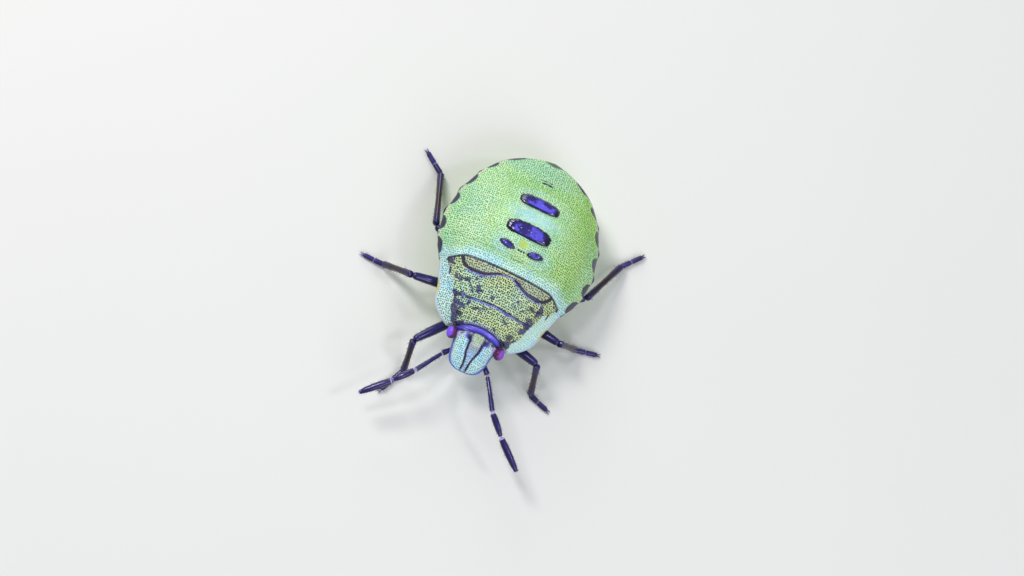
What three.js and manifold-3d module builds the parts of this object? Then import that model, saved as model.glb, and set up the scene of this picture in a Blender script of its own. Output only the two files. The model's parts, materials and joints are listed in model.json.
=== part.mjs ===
// Shield bug nymph, life size, standing on a floor at z = 0.
// Millimetres. +Z is up, the head points to -Y and the insect's left side is +X.
// "Forward" distances are measured from the middle of the body towards the head.

import * as THREE from 'three';
import { mergeVertices } from 'three/addons/utils/BufferGeometryUtils.js';
import Module from 'manifold-3d';

const wasm = await Module();
wasm.setup();

// Driving sizes
const BODY_LENGTH = 7.0;
const TAIL = -BODY_LENGTH / 2;
const HEAD_TIP = BODY_LENGTH / 2;
const TRUNK_FRONT = 2.66;
const HEAD_REAR = 1.85;

// Gap between neighbouring parts
const SEAM = 0.04;

// Cutting shapes reach past the whole insect in every direction
const ROOM = 6;
const UNDERNEATH = -1;
const PAST_HEAD = HEAD_TIP + 3;
const PAST_TAIL = TAIL - 1;
const CUT_HALF_WIDTH = 3;

// Fineness of the solids
const TRUNK_AROUND = 24;
const TRUNK_RINGS = 26;
const HEAD_AROUND = 18;
const HEAD_RINGS = 12;
const BALL_AROUND = 10;
const BALL_RINGS = 7;
const ROD_SIDES = 8;
const ROD_MIDDLES = [0.35, 0.7];
const CAP_STEPS = 4;
const CAP_START = -Math.PI / 6;
const BORDER_STEPS = 20;
const MARGIN_STEP = 0.25;
const PLATE_CURVE_STEPS = 8;
const FACET_TOLERANCE = 0.011;
const WELD_DISTANCE = 1e-5;
const TINY = 1e-6;

// Outline of the trunk: how far it reaches sideways at each forward distance
const TRUNK_HALF_WIDTH = [
  [-3.5, 0.02], [-3.47, 0.36], [-3.14, 1.15], [-2.64, 1.71], [-1.87, 2.16], [-1.1, 2.38],
  [-0.4, 2.44], [0.38, 2.25], [0.7, 2.02], [0.82, 1.94], [1.15, 1.84], [1.5, 1.72],
  [1.8, 1.66], [2.12, 1.46], [2.43, 1.02], [2.6, 0.5], [2.66, 0.02],
];
const TRUNK_TOP = [
  [-3.5, 1.2], [-3.0, 1.55], [-2.5, 1.86], [-2.0, 2.12], [-1.4, 2.34], [-0.8, 2.45],
  [-0.2, 2.48], [0.5, 2.42], [1.0, 2.3], [1.5, 2.12], [2.1, 1.78], [2.66, 1.4],
];
const TRUNK_MARGIN = [
  [-3.5, 1.1], [-2.5, 1.22], [-1.0, 1.3], [0.5, 1.34], [1.6, 1.3], [2.66, 1.16],
];
const TRUNK_BOTTOM = [
  [-3.5, 0.98], [-3.0, 0.84], [-2.2, 0.66], [-1.0, 0.52], [0.2, 0.56], [1.4, 0.6],
  [2.2, 0.7], [2.66, 0.95],
];

// Shape of a cross section, and how evenly the rings lie from front to back
const BACK_ROUNDNESS = 2.2;
const EDGE_SLOPE = 0.8;
const END_ROUNDING = 0.6;

// Head
const HEAD_HALF_WIDTH = [
  [1.85, 0.1], [2.0, 0.62], [2.3, 0.76], [2.5, 0.75], [2.8, 0.66], [3.1, 0.61], [3.3, 0.55],
  [3.42, 0.42], [3.49, 0.2], [3.5, 0.02],
];
const HEAD_TOP = [[1.85, 1.62], [2.4, 1.66], [2.8, 1.56], [3.2, 1.36], [3.5, 1.12]];
const HEAD_MARGIN = [[1.85, 1.3], [2.6, 1.3], [3.5, 1.06]];
const HEAD_BOTTOM = [[1.85, 0.85], [2.6, 0.78], [3.2, 0.86], [3.5, 1.0]];
const EYE_RADIUS = 0.17;
const EYE_PLACE = new THREE.Vector3(0.77, -2.6, 1.4);

// Cross borders of the back plates, as forward distances
const COLLAR = { front: 2.36, rear: 2.14, bend: 0.3 };
const PRONOTUM_BORDER = { middle: 1.48, wave: 0.04, waveEnd: 1.6, waves: 2 };
const MESONOTUM_BORDER = { middle: 0.57, rise: 0.27, fall: 0.12, fallFrom: 0.95, reach: 0.8 };
const METANOTUM_BORDER = { middle: 0.46, rise: 0.2, riseFrom: 1.3, reach: 0.6 };
const SEGMENT_BORDERS = [0.08, -0.68, -1.48, -2.23, -2.85, -3.2];
const SEGMENT_SAG = 0.1;
const SEGMENT_CURVE = 0.6;

// How much each gap between back plates closes towards the sides, per mm squared
const BOW = 0.0015;

// Dark gland plates on the abdomen: forward centre, half length, half width, sideways place
const GLAND_PLATES = {
  gland_plate_front_left: { at: -0.25, reach: 0.12, half: 0.26, side: 0.44 },
  gland_plate_front_right: { at: -0.25, reach: 0.12, half: 0.26, side: -0.44 },
  gland_plate_middle: { at: -0.88, reach: 0.26, half: 0.67, side: 0 },
  gland_plate_rear: { at: -1.84, reach: 0.22, half: 0.61, side: 0 },
};
const GLAND_DEPTH = 0.3;

// Legs and feelers
const FEMUR_RADIUS = 0.25;
const FEMUR_SWELL = 0.01;
const TIBIA_RADIUS = 0.24;
const TARSUS_RADIUS = 0.24;
const COXA_RADIUS = 0.3;
const COXA_ROOT_RADIUS = 0.27;
const KNEE_RADIUS = 0.27;
const ANKLE_RADIUS = 0.26;
const SOLE_AXIS = 0.15;
const ANKLE = 0.25;
const TARSUS_TIP = 0.2;
const FEELER_RADIUS = 0.25;
const FEELER_JOINT = 0.26;

// Joints of each leg: hip, knee, ankle and the tip of the tarsus
const LEGS = {
  left_front: [[0.62, -1.86, 0.47], [1.97, -2.32, 1.1], [2.26, -3.0, ANKLE], [2.95, -3.22, SOLE_AXIS]],
  right_front: [[-0.62, -1.86, 0.47], [-1.67, -3.22, 1.0], [-1.5, -4.0, ANKLE], [-1.9, -4.85, SOLE_AXIS]],
  left_mid: [[0.66, -1.08, 0.47], [2.31, -1.46, 1.16], [2.96, -1.15, ANKLE], [3.68, -0.98, SOLE_AXIS]],
  right_mid: [[-0.66, -1.08, 0.47], [-2.52, -1.5, 1.16], [-3.37, -1.33, ANKLE], [-4.06, -1.31, SOLE_AXIS]],
  left_hind: [[0.72, -0.4, 0.47], [2.53, 0.2, 0.96], [3.22, 1.83, ANKLE], [3.73, 2.44, SOLE_AXIS]],
  right_hind: [[-0.72, -0.4, 0.47], [-2.48, 0.24, 0.96], [-2.94, 1.99, ANKLE], [-3.6, 2.46, SOLE_AXIS]],
};

// A coxa starts inside the trunk: its root lies further in and higher than the hip
const COXA_INWARD = 0.92;
const COXA_RISE = 0.42;

// Joints of each feeler from its root on the head to its tip
const FEELERS = {
  left: [
    [0.6, -3.04, 1.02], [0.74, -3.24, 1.06], [1.31, -4.25, 1.3], [1.84, -4.79, 1.22], [2.68, -5.46, 1.0],
  ],
  right: [
    [-0.6, -3.02, 1.02], [-0.73, -3.22, 1.06], [-1.28, -4.1, 1.3], [-1.75, -4.64, 1.22], [-2.46, -5.33, 1.0],
  ],
};

// The beak lies under the head and the thorax
const BEAK = [[0, -3.22, 0.86], [0, -2.6, 0.58], [0, -1.6, 0.42], [0, -0.62, 0.4]];
const BEAK_RADIUS = 0.21;

function smooth(t) {
  const s = Math.min(Math.max(t, 0), 1);
  return s * s * (3 - 2 * s);
}

function collarFront(x) {
  return COLLAR.front + COLLAR.bend * x * x;
}

function collarRear(x) {
  return COLLAR.rear + COLLAR.bend * x * x;
}

function pronotumRear(x) {
  const { middle, wave, waveEnd, waves } = PRONOTUM_BORDER;
  return middle + wave * Math.sin(Math.min(Math.abs(x), waveEnd) * waves);
}

function mesonotumRear(x) {
  const { middle, rise, fall, fallFrom, reach } = MESONOTUM_BORDER;
  const side = Math.abs(x);
  return middle + rise * smooth(side / reach) - fall * smooth((side - fallFrom) / reach);
}

function metanotumRear(x) {
  const { middle, rise, riseFrom, reach } = METANOTUM_BORDER;
  return middle + rise * smooth((Math.abs(x) - riseFrom) / reach);
}

function segmentBorder(place) {
  return (x) => place - SEGMENT_SAG * (1 - Math.cos(x * SEGMENT_CURVE));
}

// A value read from a short table of [forward distance, value], with a rounded line between
function along(table, forward) {
  const last = table.length - 1;
  if (forward <= table[0][0]) return table[0][1];
  if (forward >= table[last][0]) return table[last][1];
  const i = table.findIndex(([place]) => place > forward) - 1;
  const slope = (a, b) => (table[b][1] - table[a][1]) / (table[b][0] - table[a][0]);
  const from = Math.max(i - 1, 0);
  const to = Math.min(i + 2, last);
  const step = table[i + 1][0] - table[i][0];
  const t = (forward - table[i][0]) / step;
  const tangentA = slope(from, i + 1) * step;
  const tangentB = slope(i, to) * step;
  const a = table[i][1];
  const b = table[i + 1][1];
  return (2 * t ** 3 - 3 * t ** 2 + 1) * a + (t ** 3 - 2 * t ** 2 + t) * tangentA
    + (3 * t ** 2 - 2 * t ** 3) * b + (t ** 3 - t ** 2) * tangentB;
}

function solid(geometry) {
  const bare = geometry.index ? geometry.clone() : geometry;
  bare.deleteAttribute('normal');
  bare.deleteAttribute('uv');
  const merged = mergeVertices(bare, WELD_DISTANCE);
  const vertProperties = new Float32Array(merged.attributes.position.array);
  const triVerts = new Uint32Array(merged.index.array);
  const made = new wasm.Manifold(new wasm.Mesh({ numProp: 3, vertProperties, triVerts }));
  if (made.status() !== 'NoError') throw new Error(`open surface: ${made.status()}`);
  return made;
}

// The largest piece of a cut solid
function mainPiece(made) {
  const pieces = made.decompose();
  return pieces.reduce((best, piece) => (piece.volume() > best.volume() ? piece : best));
}

// A rounded body from front to back: a sphere whose rings take their width and heights from tables
function loft(front, rear, halfWidth, top, margin, bottom, around, rings, grow = 0) {
  const geometry = new THREE.SphereGeometry(1, around, rings);
  const place = geometry.attributes.position;
  const v = new THREE.Vector3();
  for (let i = 0; i < place.count; i += 1) {
    v.fromBufferAttribute(place, i);
    const polar = Math.acos(THREE.MathUtils.clamp(-v.y, -1, 1));
    const blend = (1 - Math.cos(polar)) / 2;
    const share = END_ROUNDING * blend + (1 - END_ROUNDING) * (polar / Math.PI);
    const forward = front + (rear - front) * share;
    const ring = Math.hypot(v.x, v.z);
    const isTip = ring <= TINY;
    const sideways = isTip ? 0 : v.x / ring;
    const upward = isTip ? 0 : v.z / ring;
    const middle = along(margin, forward);
    const above = along(top, forward) + grow - middle;
    const below = middle - along(bottom, forward) + grow;
    const limit = upward > 0 ? above : below;
    const arch = Math.sign(upward) * (1 - Math.abs(sideways) ** BACK_ROUNDNESS) ** EDGE_SLOPE;
    const x = sideways * (along(halfWidth, forward) + grow);
    const z = isTip ? middle : middle + limit * arch;
    place.setXYZ(i, x, -forward + grow * (blend * 2 - 1), z);
  }
  return solid(geometry);
}

// Everything between two cross borders, seen from above
function between(frontBorder, rearBorder) {
  const outline = new THREE.Shape();
  const step = (2 * CUT_HALF_WIDTH) / BORDER_STEPS;
  for (let i = 0; i <= BORDER_STEPS; i += 1) {
    const x = -CUT_HALF_WIDTH + i * step;
    const y = -frontBorder(x) + SEAM / 2 - BOW * x * x;
    if (i === 0) outline.moveTo(x, y);
    else outline.lineTo(x, y);
  }
  for (let i = BORDER_STEPS; i >= 0; i -= 1) {
    const x = -CUT_HALF_WIDTH + i * step;
    outline.lineTo(x, -rearBorder(x) - SEAM / 2 + BOW * x * x);
  }
  outline.closePath();
  const geometry = new THREE.ExtrudeGeometry(outline, { depth: ROOM - UNDERNEATH, bevelEnabled: false });
  geometry.translate(0, 0, UNDERNEATH);
  return solid(geometry);
}

// Everything above (side 1) or below (side -1) the widest line of the trunk
function sideOf(side) {
  const outline = new THREE.Shape();
  const far = side > 0 ? ROOM : UNDERNEATH;
  outline.moveTo(-ROOM, far);
  for (let y = -ROOM; y <= ROOM; y += MARGIN_STEP) {
    outline.lineTo(y, along(TRUNK_MARGIN, -y) + (side * SEAM) / 2);
  }
  outline.lineTo(ROOM, far);
  outline.closePath();
  const geometry = new THREE.ExtrudeGeometry(outline, { depth: 2 * ROOM, bevelEnabled: false });
  geometry.rotateY(Math.PI / 2);
  geometry.rotateX(Math.PI / 2);
  geometry.translate(-ROOM, 0, 0);
  return solid(geometry);
}

// A round-ended rod between two points; a flat start fits a neighbour's ball
function rod(start, end, startRadius, endRadius, { ball = endRadius, swell = 0, grow = 0 } = {}) {
  const a = new THREE.Vector3(...start);
  const b = new THREE.Vector3(...end);
  const length = a.distanceTo(b);
  const profile = [new THREE.Vector2(0, -grow), new THREE.Vector2(startRadius + grow, -grow)];
  for (const share of ROD_MIDDLES) {
    const radius = startRadius + (endRadius - startRadius) * share + swell;
    profile.push(new THREE.Vector2(radius + grow, length * share));
  }
  const reach = ball + grow;
  for (let i = 1; i < CAP_STEPS; i += 1) {
    const angle = CAP_START + ((Math.PI / 2 - CAP_START) * i) / CAP_STEPS;
    profile.push(new THREE.Vector2(reach * Math.cos(angle), length + reach * Math.sin(angle)));
  }
  profile.push(new THREE.Vector2(0, length + reach));
  const geometry = new THREE.LatheGeometry(profile, ROD_SIDES);
  const turn = new THREE.Quaternion().setFromUnitVectors(
    new THREE.Vector3(0, 1, 0),
    b.clone().sub(a).normalize(),
  );
  geometry.applyQuaternion(turn);
  geometry.translate(...start);
  return solid(geometry);
}

function ball(centre, radius, grow = 0) {
  const geometry = new THREE.SphereGeometry(radius + grow, BALL_AROUND, BALL_RINGS);
  geometry.translate(...centre);
  return solid(geometry);
}

function material(color, roughness) {
  return new THREE.MeshStandardMaterial({ color, roughness });
}

const COLOURS = {
  paleGreen: material(0x9ac46a, 0.5),
  paleShell: material(0xb8d8c8, 0.45),
  olive: material(0x8a9a58, 0.5),
  darkShell: material(0x1c1836, 0.25),
  legs: material(0x2a2440, 0.3),
  tarsi: material(0x6a5f78, 0.4),
  eyes: material(0x5a2030, 0.3),
  underside: material(0x9cb878, 0.5),
};

const bug = new THREE.Group();
bug.name = 'shield_bug_nymph';

// Adds a finished solid as a named mesh whose own origin is the given point
function addPart(name, made, finish, origin = [0, 0, 0]) {
  const plain = mainPiece(made.simplify(FACET_TOLERANCE));
  const { vertProperties, triVerts, numProp } = plain.getMesh();
  const place = new Float32Array((vertProperties.length / numProp) * 3);
  for (let i = 0; i < place.length / 3; i += 1) {
    place[3 * i] = vertProperties[numProp * i] - origin[0];
    place[3 * i + 1] = vertProperties[numProp * i + 1] - origin[1];
    place[3 * i + 2] = vertProperties[numProp * i + 2] - origin[2];
  }
  const geometry = new THREE.BufferGeometry();
  geometry.setAttribute('position', new THREE.BufferAttribute(place, 3));
  geometry.setIndex(new THREE.BufferAttribute(new Uint32Array(triVerts), 1));
  geometry.computeVertexNormals();
  const mesh = new THREE.Mesh(geometry, finish);
  mesh.name = name;
  mesh.position.set(...origin);
  bug.add(mesh);
}

// Everything above the floor
const aboveFloor = new THREE.BoxGeometry(2 * ROOM, 2 * ROOM, ROOM);
aboveFloor.translate(0, 0, ROOM / 2);
const overFloor = solid(aboveFloor);

function coxaRod(root, hip, grow) {
  return rod(root, hip, COXA_ROOT_RADIUS, COXA_RADIUS, { ball: COXA_RADIUS, grow });
}

function femurRod(hip, knee, grow) {
  return rod(hip, knee, FEMUR_RADIUS, FEMUR_RADIUS, { ball: KNEE_RADIUS, swell: FEMUR_SWELL, grow });
}

// Limbs first, because the trunk leaves room for them
const limbParts = [];
const limbRoom = [];
for (const [name, [hip, knee, ankle, tip]] of Object.entries(LEGS)) {
  const root = [hip[0] * COXA_INWARD, hip[1], hip[2] + COXA_RISE];
  const coxa = coxaRod(root, hip, 0);
  const femur = femurRod(hip, knee, 0).subtract(ball(hip, COXA_RADIUS, SEAM));
  const tibia = rod(knee, ankle, TIBIA_RADIUS, TIBIA_RADIUS, { ball: ANKLE_RADIUS })
    .subtract(ball(knee, KNEE_RADIUS, SEAM))
    .intersect(overFloor);
  const tarsus = rod(ankle, tip, TARSUS_RADIUS, TARSUS_TIP)
    .subtract(ball(ankle, ANKLE_RADIUS, SEAM))
    .intersect(overFloor);
  limbParts.push([`${name}_coxa`, coxa, COLOURS.legs, root]);
  limbParts.push([`${name}_femur`, femur, COLOURS.legs, hip]);
  limbParts.push([`${name}_tibia`, tibia, COLOURS.legs, knee]);
  limbParts.push([`${name}_tarsus`, tarsus, COLOURS.tarsi, ankle]);
  limbRoom.push(coxaRod(root, hip, SEAM));
  limbRoom.push(femurRod(hip, knee, SEAM));
}

function beakSolid(grow) {
  const pieces = [];
  for (let i = 0; i + 1 < BEAK.length; i += 1) {
    pieces.push(rod(BEAK[i], BEAK[i + 1], BEAK_RADIUS, BEAK_RADIUS, { ball: BEAK_RADIUS, grow }));
  }
  return pieces.reduce((all, piece) => all.add(piece));
}

// Trunk, parted into back plates and two undersides
function trunkLoft(grow) {
  return loft(
    TRUNK_FRONT, TAIL, TRUNK_HALF_WIDTH, TRUNK_TOP, TRUNK_MARGIN, TRUNK_BOTTOM,
    TRUNK_AROUND, TRUNK_RINGS, grow,
  );
}

function headLoft(grow) {
  return loft(
    HEAD_TIP, HEAD_REAR, HEAD_HALF_WIDTH, HEAD_TOP, HEAD_MARGIN, HEAD_BOTTOM,
    HEAD_AROUND, HEAD_RINGS, grow,
  );
}

const trunk = trunkLoft(0);
const back = trunk.intersect(sideOf(1));
const belly = trunk.intersect(sideOf(-1));
const beakRoom = beakSolid(SEAM);

const headWhole = headLoft(0);
const eyes = { left: 1, right: -1 };
const eyePlace = (side) => [side * EYE_PLACE.x, EYE_PLACE.y, EYE_PLACE.z];

let head = headWhole.intersect(between(() => PAST_HEAD, collarFront));
for (const side of Object.values(eyes)) head = head.subtract(ball(eyePlace(side), EYE_RADIUS, SEAM / 2));
head = head.subtract(beakRoom);
const neck = headWhole.intersect(between(collarFront, collarRear)).subtract(beakRoom);

addPart('head', head, COLOURS.paleShell);
addPart('neck', neck, COLOURS.darkShell);
for (const [name, side] of Object.entries(eyes)) {
  addPart(`eye_${name}`, ball(eyePlace(side), EYE_RADIUS), COLOURS.eyes, eyePlace(side));
}
addPart('beak', beakSolid(0), COLOURS.underside);

const pronotum = back.intersect(between(collarRear, pronotumRear));
const mesonotum = back.intersect(between(pronotumRear, mesonotumRear));
const metanotum = back.intersect(between(mesonotumRear, metanotumRear));
addPart('pronotum', pronotum, COLOURS.olive);
addPart('mesonotum', mesonotum, COLOURS.olive);
addPart('metanotum', metanotum, COLOURS.olive);

// A gland plate seen from above, cut out of the back
function glandColumn({ at, reach, half, side }, grow) {
  const outline = new THREE.Shape();
  outline.absellipse(side, -at, half + grow, reach + grow, 0, Math.PI * 2, false, 0);
  const geometry = new THREE.ExtrudeGeometry(outline, {
    depth: ROOM,
    bevelEnabled: false,
    curveSegments: PLATE_CURVE_STEPS,
  });
  return solid(geometry);
}

// The upper skin of the back, as thick as a gland plate
const backCore = trunkLoft(-GLAND_DEPTH);
const backSkin = back.subtract(backCore);
let abdomenBack = back;
for (const [name, plate] of Object.entries(GLAND_PLATES)) {
  const piece = backSkin.intersect(glandColumn(plate, -SEAM / 2));
  const hollow = glandColumn(plate, SEAM / 2).subtract(backCore);
  abdomenBack = abdomenBack.subtract(hollow);
  addPart(name, piece.translate([0, 0, SEAM]), COLOURS.darkShell);
}

const borders = [
  metanotumRear,
  ...SEGMENT_BORDERS.map(segmentBorder),
  () => PAST_TAIL,
];
for (let i = 0; i + 1 < borders.length; i += 1) {
  const tergite = abdomenBack.intersect(between(borders[i], borders[i + 1]));
  addPart(`abdomen_back_${i + 1}`, tergite, COLOURS.paleGreen);
}

// Undersides, hollowed for the hips, thighs and beak
let thoraxUnderside = belly.intersect(between(collarRear, metanotumRear)).subtract(beakRoom);
let abdomenUnderside = belly.intersect(between(metanotumRear, () => PAST_TAIL)).subtract(beakRoom);
for (const room of limbRoom) {
  thoraxUnderside = thoraxUnderside.subtract(room);
  abdomenUnderside = abdomenUnderside.subtract(room);
}
addPart('thorax_underside', thoraxUnderside, COLOURS.underside);
addPart('abdomen_underside', abdomenUnderside, COLOURS.underside);

for (const [name, made, finish, origin] of limbParts) addPart(name, made, finish, origin);

// Feelers: four joints each, fitted to the head
const headRoom = headLoft(SEAM);
for (const [name, joints] of Object.entries(FEELERS)) {
  for (let i = 0; i + 1 < joints.length; i += 1) {
    let piece = rod(joints[i], joints[i + 1], FEELER_RADIUS, FEELER_RADIUS, { ball: FEELER_JOINT });
    if (i > 0) piece = piece.subtract(ball(joints[i], FEELER_JOINT, SEAM));
    piece = piece.subtract(headRoom);
    addPart(`antenna_${name}_${i + 1}`, piece, COLOURS.legs, joints[i]);
  }
}

// Centre of the outline at the origin, soles at z = 0
const outerBox = new THREE.Box3().setFromObject(bug);
const centre = outerBox.getCenter(new THREE.Vector3());
bug.position.set(-centre.x, -centre.y, -outerBox.min.z);

export default bug;
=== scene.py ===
"""Finished model of a shield bug nymph, laid out as a Blender add-on and run as a script.

Sizes in the shape code are in body millimetres: x towards the insect's left, f forward from
the middle of the body, z up from the floor. The frame gives the place of that middle.
"""
import json
import math

import bmesh
import bpy
import numpy as np
from mathutils import Matrix, Vector

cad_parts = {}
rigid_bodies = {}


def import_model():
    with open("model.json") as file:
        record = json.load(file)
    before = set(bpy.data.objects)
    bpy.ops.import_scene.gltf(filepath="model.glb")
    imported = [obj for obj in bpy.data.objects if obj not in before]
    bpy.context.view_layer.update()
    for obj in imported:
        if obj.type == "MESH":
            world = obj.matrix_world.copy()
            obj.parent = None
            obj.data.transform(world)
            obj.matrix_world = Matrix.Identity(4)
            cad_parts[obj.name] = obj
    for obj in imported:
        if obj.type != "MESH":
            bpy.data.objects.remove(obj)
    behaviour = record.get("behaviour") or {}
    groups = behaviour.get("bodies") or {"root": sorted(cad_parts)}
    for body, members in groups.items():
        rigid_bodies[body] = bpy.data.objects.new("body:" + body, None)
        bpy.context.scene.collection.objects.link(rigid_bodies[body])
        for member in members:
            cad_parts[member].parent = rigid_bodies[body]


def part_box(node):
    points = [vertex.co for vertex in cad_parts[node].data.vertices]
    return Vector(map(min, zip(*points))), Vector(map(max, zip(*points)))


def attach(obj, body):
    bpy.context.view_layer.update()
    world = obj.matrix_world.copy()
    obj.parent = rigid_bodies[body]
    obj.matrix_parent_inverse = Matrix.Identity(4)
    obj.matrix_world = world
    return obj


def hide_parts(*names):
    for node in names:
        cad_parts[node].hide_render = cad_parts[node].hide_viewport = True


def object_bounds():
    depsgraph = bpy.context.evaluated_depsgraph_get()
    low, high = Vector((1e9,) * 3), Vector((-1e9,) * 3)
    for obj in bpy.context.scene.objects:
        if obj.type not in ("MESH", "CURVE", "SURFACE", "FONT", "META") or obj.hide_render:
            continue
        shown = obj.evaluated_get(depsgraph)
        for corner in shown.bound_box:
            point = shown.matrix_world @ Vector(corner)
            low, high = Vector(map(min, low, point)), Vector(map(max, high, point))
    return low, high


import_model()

bl_info = {
    "name": "Shield Bug Nymph",
    "version": (1, 0, 0),
    "blender": (4, 5, 0),
    "location": "3D View > Sidebar > Bug",
    "description": "Builds the shell, limbs, eyes and bristles of a shield bug nymph",
    "category": "Add Mesh",
}

MM = 0.001
CAD_BOX = [list(corner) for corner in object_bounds()]
HEAD_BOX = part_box("head")
TAIL_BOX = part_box("abdomen_back_7")
BELLY_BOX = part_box("abdomen_underside")
MIDDLE = Vector((
    (BELLY_BOX[0][0] + BELLY_BOX[1][0]) / 2,
    (HEAD_BOX[0][1] + TAIL_BOX[1][1]) / 2,
    0.0,
))

# Outline and heights of the trunk and head by forward distance, as in the solids
TRUNK_WIDTH = [
    (-3.5, 0.02), (-3.47, 0.36), (-3.14, 1.15), (-2.64, 1.71), (-1.87, 2.16), (-1.1, 2.38),
    (-0.4, 2.44), (0.38, 2.25), (0.7, 2.02), (0.82, 1.94), (1.15, 1.84), (1.5, 1.72),
    (1.8, 1.66), (2.12, 1.46), (2.43, 1.02), (2.6, 0.5), (2.66, 0.02),
]
TRUNK_TOP = [
    (-3.5, 1.2), (-3.0, 1.55), (-2.5, 1.86), (-2.0, 2.12), (-1.4, 2.34), (-0.8, 2.45),
    (-0.2, 2.48), (0.5, 2.42), (1.0, 2.3), (1.5, 2.12), (2.1, 1.78), (2.66, 1.4),
]
TRUNK_EDGE = [(-3.5, 1.1), (-2.5, 1.22), (-1.0, 1.3), (0.5, 1.34), (1.6, 1.3), (2.66, 1.16)]
TRUNK_BELLY = [
    (-3.5, 0.98), (-3.0, 0.84), (-2.2, 0.66), (-1.0, 0.52), (0.2, 0.56), (1.4, 0.6),
    (2.2, 0.7), (2.66, 0.95),
]
HEAD_WIDTH = [
    (1.85, 0.1), (2.0, 0.62), (2.3, 0.74), (2.5, 0.72), (2.8, 0.63), (3.1, 0.58), (3.3, 0.51),
    (3.42, 0.38), (3.49, 0.17), (3.5, 0.02),
]
HEAD_TOP = [(1.85, 1.62), (2.4, 1.66), (2.8, 1.56), (3.2, 1.36), (3.5, 1.12)]
HEAD_EDGE = [(1.85, 1.3), (2.6, 1.3), (3.5, 1.06)]
HEAD_BELLY = [(1.85, 0.85), (2.6, 0.78), (3.2, 0.86), (3.5, 1.0)]
ROUNDNESS = 2.2
EDGE_SLOPE = 0.8
THINNEST = 0.02
ABDOMEN_END = -3.498
HEAD_END = 3.498

# Cross borders of the back plates, as forward distances and the way they curve
COLLAR_FRONT, COLLAR_REAR, COLLAR_BEND = 2.36, 2.16, 0.3
PRONOTUM_REAR, PRONOTUM_WAVE, PRONOTUM_WAVE_END = 1.48, 0.04, 1.6
MESONOTUM_REAR, MESONOTUM_RISE, MESONOTUM_FALL = 0.57, 0.27, 0.12
MESONOTUM_FALL_FROM, MESONOTUM_REACH = 0.95, 0.8
METANOTUM_REAR, METANOTUM_RISE = 0.46, 0.2
METANOTUM_RISE_FROM, METANOTUM_REACH = 1.3, 0.6
SEGMENT_LINES = (0.06, -0.68, -1.48, -2.23, -2.85, -3.28)
SEGMENT_SAG = 0.1
THORAX_LINES_BELOW = (1.5, 0.78)

# Half width of the olive disc of the thorax, inside its pale margins
DISC_WIDTH = [
    (0.4, 1.5), (0.5, 1.66), (0.6, 1.76), (0.8, 1.76), (1.1, 1.5), (1.5, 1.3), (2.0, 1.1), (2.4, 0.92),
]

# The clypeus: the narrow lobe in the middle of the head, between two dark grooves
CLYPEUS_REAR = 2.66

# Dark marks on the abdomen's edge: forward place and half length
EDGE_MARKS = ((0.37, 0.23), (-0.29, 0.23), (-1.12, 0.23), (-1.9, 0.23), (-2.6, 0.16), (-3.12, 0.16))

# Painted spots, given for one side and drawn on both: x, f, reach in x, reach in f, turn
ABDOMEN_DASHES = ((0.09, -2.62, 0.1, 0.035, 0.1), (0.1, -2.72, 0.06, 0.02, 0.1))
PRONOTUM_BLOTCHES = (
    (0.48, 1.8, 0.12, 0.045, 0.5), (0.83, 2.08, 0.12, 0.07, -0.4), (0.7, 2.3, 0.14, 0.05, 0.3),
    (1.11, 1.6, 0.13, 0.07, 0.2), (0.8, 1.58, 0.1, 0.05, 0.0), (0.3, 2.1, 0.06, 0.03, 0.4),
)
MESONOTUM_BLOTCHES = (
    (1.05, 1.12, 0.1, 0.06, 0.3), (0.55, 1.3, 0.07, 0.03, 0.2), (1.6, 1.02, 0.03, 0.12, 0.2),
    (0.22, 0.95, 0.04, 0.02, 0.6),
)
HEAD_BLOTCHES = ((0.49, 2.5, 0.06, 0.045, 0.3), (0.36, 2.42, 0.05, 0.03, 0.6))

# Gland plates: sideways place, forward place, half width, half length
GLANDS = {
    "gland_plate_front_left": (0.45, -0.25, 0.26, 0.12),
    "gland_plate_front_right": (-0.45, -0.25, 0.26, 0.12),
    "gland_plate_middle": (0.0, -0.86, 0.71, 0.25),
    "gland_plate_rear": (0.0, -1.83, 0.64, 0.21),
}

EYE = (0.77, 2.6, 1.4)
EYE_RADIUS = 0.182

# Joints of the beak, the legs (hip, knee, ankle, tip of the foot) and the feelers
BEAK = ((0, 3.25, 0.9), (0, 2.9, 0.66), (0, 2.3, 0.56), (0, 1.5, 0.5), (0, 0.75, 0.46))
LEGS = {
    "left_front": ((0.62, 1.86, 0.5), (1.97, 2.32, 1.1), (2.26, 3.0, 0.15), (2.95, 3.22, 0.1)),
    "right_front": ((-0.62, 1.86, 0.5), (-1.67, 3.22, 1.0), (-1.5, 4.0, 0.15), (-1.9, 4.85, 0.1)),
    "left_mid": ((0.66, 1.08, 0.5), (2.31, 1.46, 1.16), (2.96, 1.15, 0.15), (3.68, 0.98, 0.1)),
    "right_mid": ((-0.66, 1.08, 0.5), (-2.52, 1.5, 1.16), (-3.37, 1.33, 0.15), (-4.06, 1.31, 0.1)),
    "left_hind": ((0.72, 0.4, 0.5), (2.53, -0.2, 0.96), (3.22, -1.83, 0.15), (3.73, -2.44, 0.1)),
    "right_hind": ((-0.72, 0.4, 0.5), (-2.48, -0.24, 0.96), (-2.94, -1.99, 0.15), (-3.6, -2.46, 0.1)),
}
FEELERS = {
    "left": (
        (0.5, 2.98, 1.02), (0.74, 3.24, 1.08), (1.31, 4.25, 1.3), (1.84, 4.79, 1.22), (2.72, 5.5, 1.0),
    ),
    "right": (
        (-0.5, 2.96, 1.02), (-0.73, 3.22, 1.08), (-1.28, 4.1, 1.3), (-1.75, 4.64, 1.22), (-2.5, 5.37, 1.0),
    ),
}
FEELER_RADII = (0.092, 0.078, 0.1, 0.108)

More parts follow.
